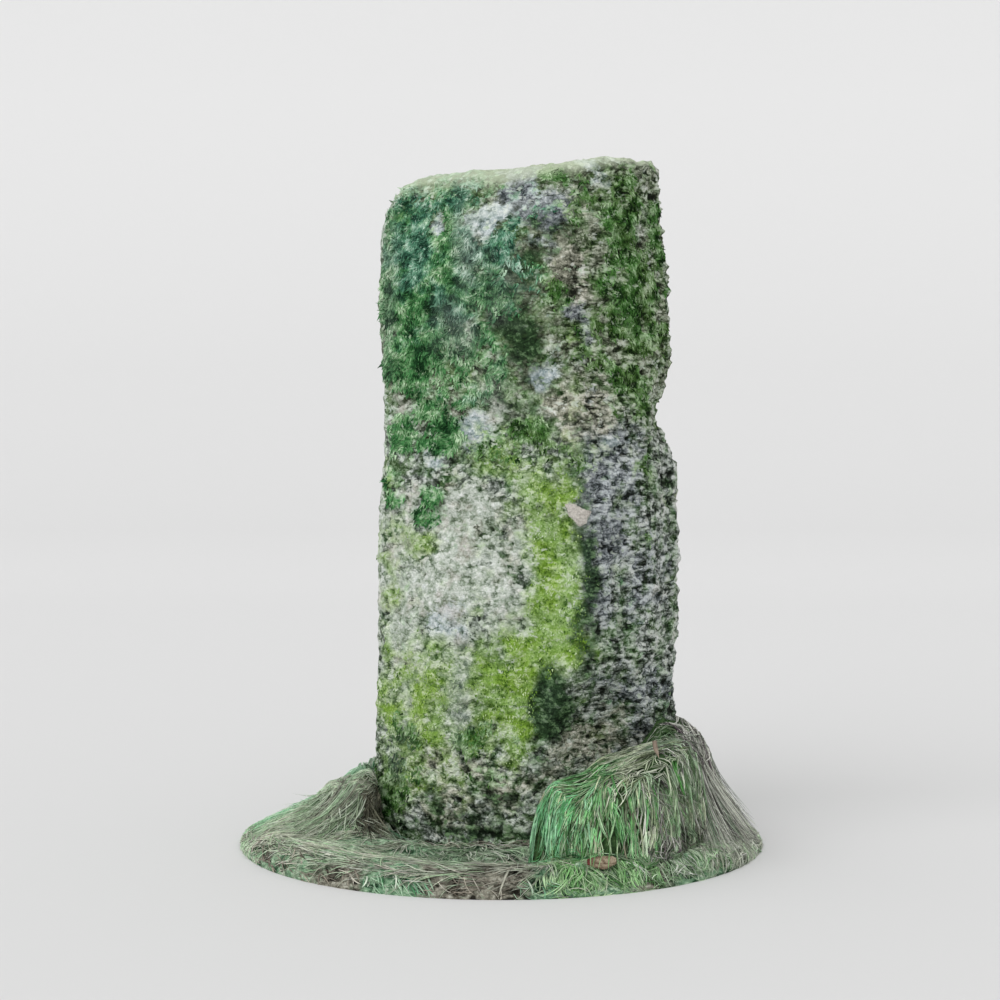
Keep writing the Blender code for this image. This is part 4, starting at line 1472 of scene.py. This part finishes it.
side_veins = add(tree, "ShaderNodeMath", {0: turns}, operation="SINE")
tone = weighted(tree, speckle(tree, 9, 3.0), *[(part, -1.0) for part in dark_parts])
tone = weighted(tree, tone, (side_veins, 0.03))
brown = add(tree, "ShaderNodeValToRGB", {"Fac": tone}, LEAF_BROWNS)
tip = add(
    tree, "ShaderNodeMapRange", {"Value": along["X"], "From Min": -0.014, "From Max": -0.026}
)
join(tree, laid_over(tree, brown, (linear("6E3432"), tip)), shader.inputs["Base Color"])
wear(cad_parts["fallen_leaf"], russet)

# %% [markdown]
# ## Tying the pieces to the body
#
# Each piece is tied to the part's one body, and the solids that the skins and the blades
# stand for are hidden.

# %% Ride and replace
for piece, slot_name, stands_for in (
    (stone, "granite", "stone"),
    (moss_deep, "granite", None),
    (moss_olive, "granite", None),
    (moss_lime, "granite", None),
    (ground, "turf", "turf"),
    (turf_grass, "turf", None),
    (turf_back_grass, "turf", None),
    (rim_grass, "turf", None),
    (green_blades, "green_grass", "green_tussock"),
    (dry_blades, "dry_grass", "dry_tussock"),
    (left_blades, "dry_grass", "left_tussock"),
    (green_heart, "green_grass", None),
    (dry_heart, "dry_grass", None),
    (left_heart, "dry_grass", None),
):
    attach(piece, "root")
    if stands_for:
        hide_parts(stands_for)

# %% [markdown]
# ## The studio
#
# A pale floor that curves up into a backdrop, one broad light from the front left, and a
# bright surround that fills the shadows.

# %% Floor and backdrop


def backdrop(front=-9.0, bend=5.0, radius=3.0, back=8.0, top=9.0, half_width=9.0):
    """A sheet that lies on the ground and rises behind the object in one sweep."""
    turns = np.linspace(0.1, math.pi / 2, 16)
    arc = [(bend + radius * math.sin(a), radius - radius * math.cos(a)) for a in turns]
    profile = [(front, 0.0), (bend, 0.0), *arc, (back, top)]
    points = [(x, y, z) for y, z in profile for x in (-half_width, half_width)]
    faces = [(2 * i, 2 * i + 1, 2 * i + 3, 2 * i + 2) for i in range(len(profile) - 1)]
    mesh = bpy.data.meshes.new("backdrop")
    mesh.from_pydata(points, [], faces)
    mesh.shade_smooth()
    return new_piece("backdrop", mesh)


# painted light: the paper a little darker just above the floor and lighter towards the top of the
# backdrop
PAPER_GREYS_WITH_PAINTED_LIGHT = (
    (0.0, "DEDEDE"), (0.08, "D8D8D8"), (0.34, "DADADA"), (0.85, "E6E6E6"), (1.0, "E8E8E8"),
)
PAPER_RISE = 3.0  # over which the grey of the paper changes, in metres
paper, tree, shader = new_material("studio paper", 1.0)  # matt, so that no lamp shows in it
here = add(tree, "ShaderNodeTexCoord").outputs["Object"]
height = add(tree, "ShaderNodeSeparateXYZ", {"Vector": here}).outputs["Z"]
share = add(
    tree, "ShaderNodeMapRange", {"Value": height, "From Min": 0.0, "From Max": PAPER_RISE}
)
sheet = add(tree, "ShaderNodeValToRGB", {"Fac": share}, PAPER_GREYS_WITH_PAINTED_LIGHT)
join(tree, sheet, shader.inputs["Base Color"])
floor = backdrop()
wear(floor, paper)
floor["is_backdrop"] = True

# %% Light and camera
world = bpy.data.worlds.new("studio")
world.use_nodes = True
sky = world.node_tree.nodes["Background"]
sky.inputs["Color"].default_value = (1.0, 1.0, 1.0, 1.0)
sky.inputs["Strength"].default_value = 0.80
bpy.context.scene.world = world

sun = bpy.data.objects.new("soft key", bpy.data.lights.new("soft key", "SUN"))
sun.data.energy = 1.10
sun.data.angle = math.radians(50)
sun.rotation_euler = Vector((0.55, 0.62, -0.62)).to_track_quat("-Z", "Y").to_euler()
bpy.context.scene.collection.objects.link(sun)

camera = bpy.data.objects.new("camera", bpy.data.cameras.new("camera"))
camera.location = (-0.0026, -4.747, 0.988)
camera.rotation_euler = (math.radians(90 - 3.18), 0, 0)
camera.data.lens = 81.14
bpy.context.scene.collection.objects.link(camera)
bpy.context.scene.camera = camera
bpy.context.scene.view_settings.view_transform = "Standard"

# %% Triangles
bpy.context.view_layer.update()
faces = {o.name: sum(len(p.vertices) - 2 for p in o.data.polygons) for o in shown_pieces()}
print("triangles:", faces, "in all", sum(faces.values()))
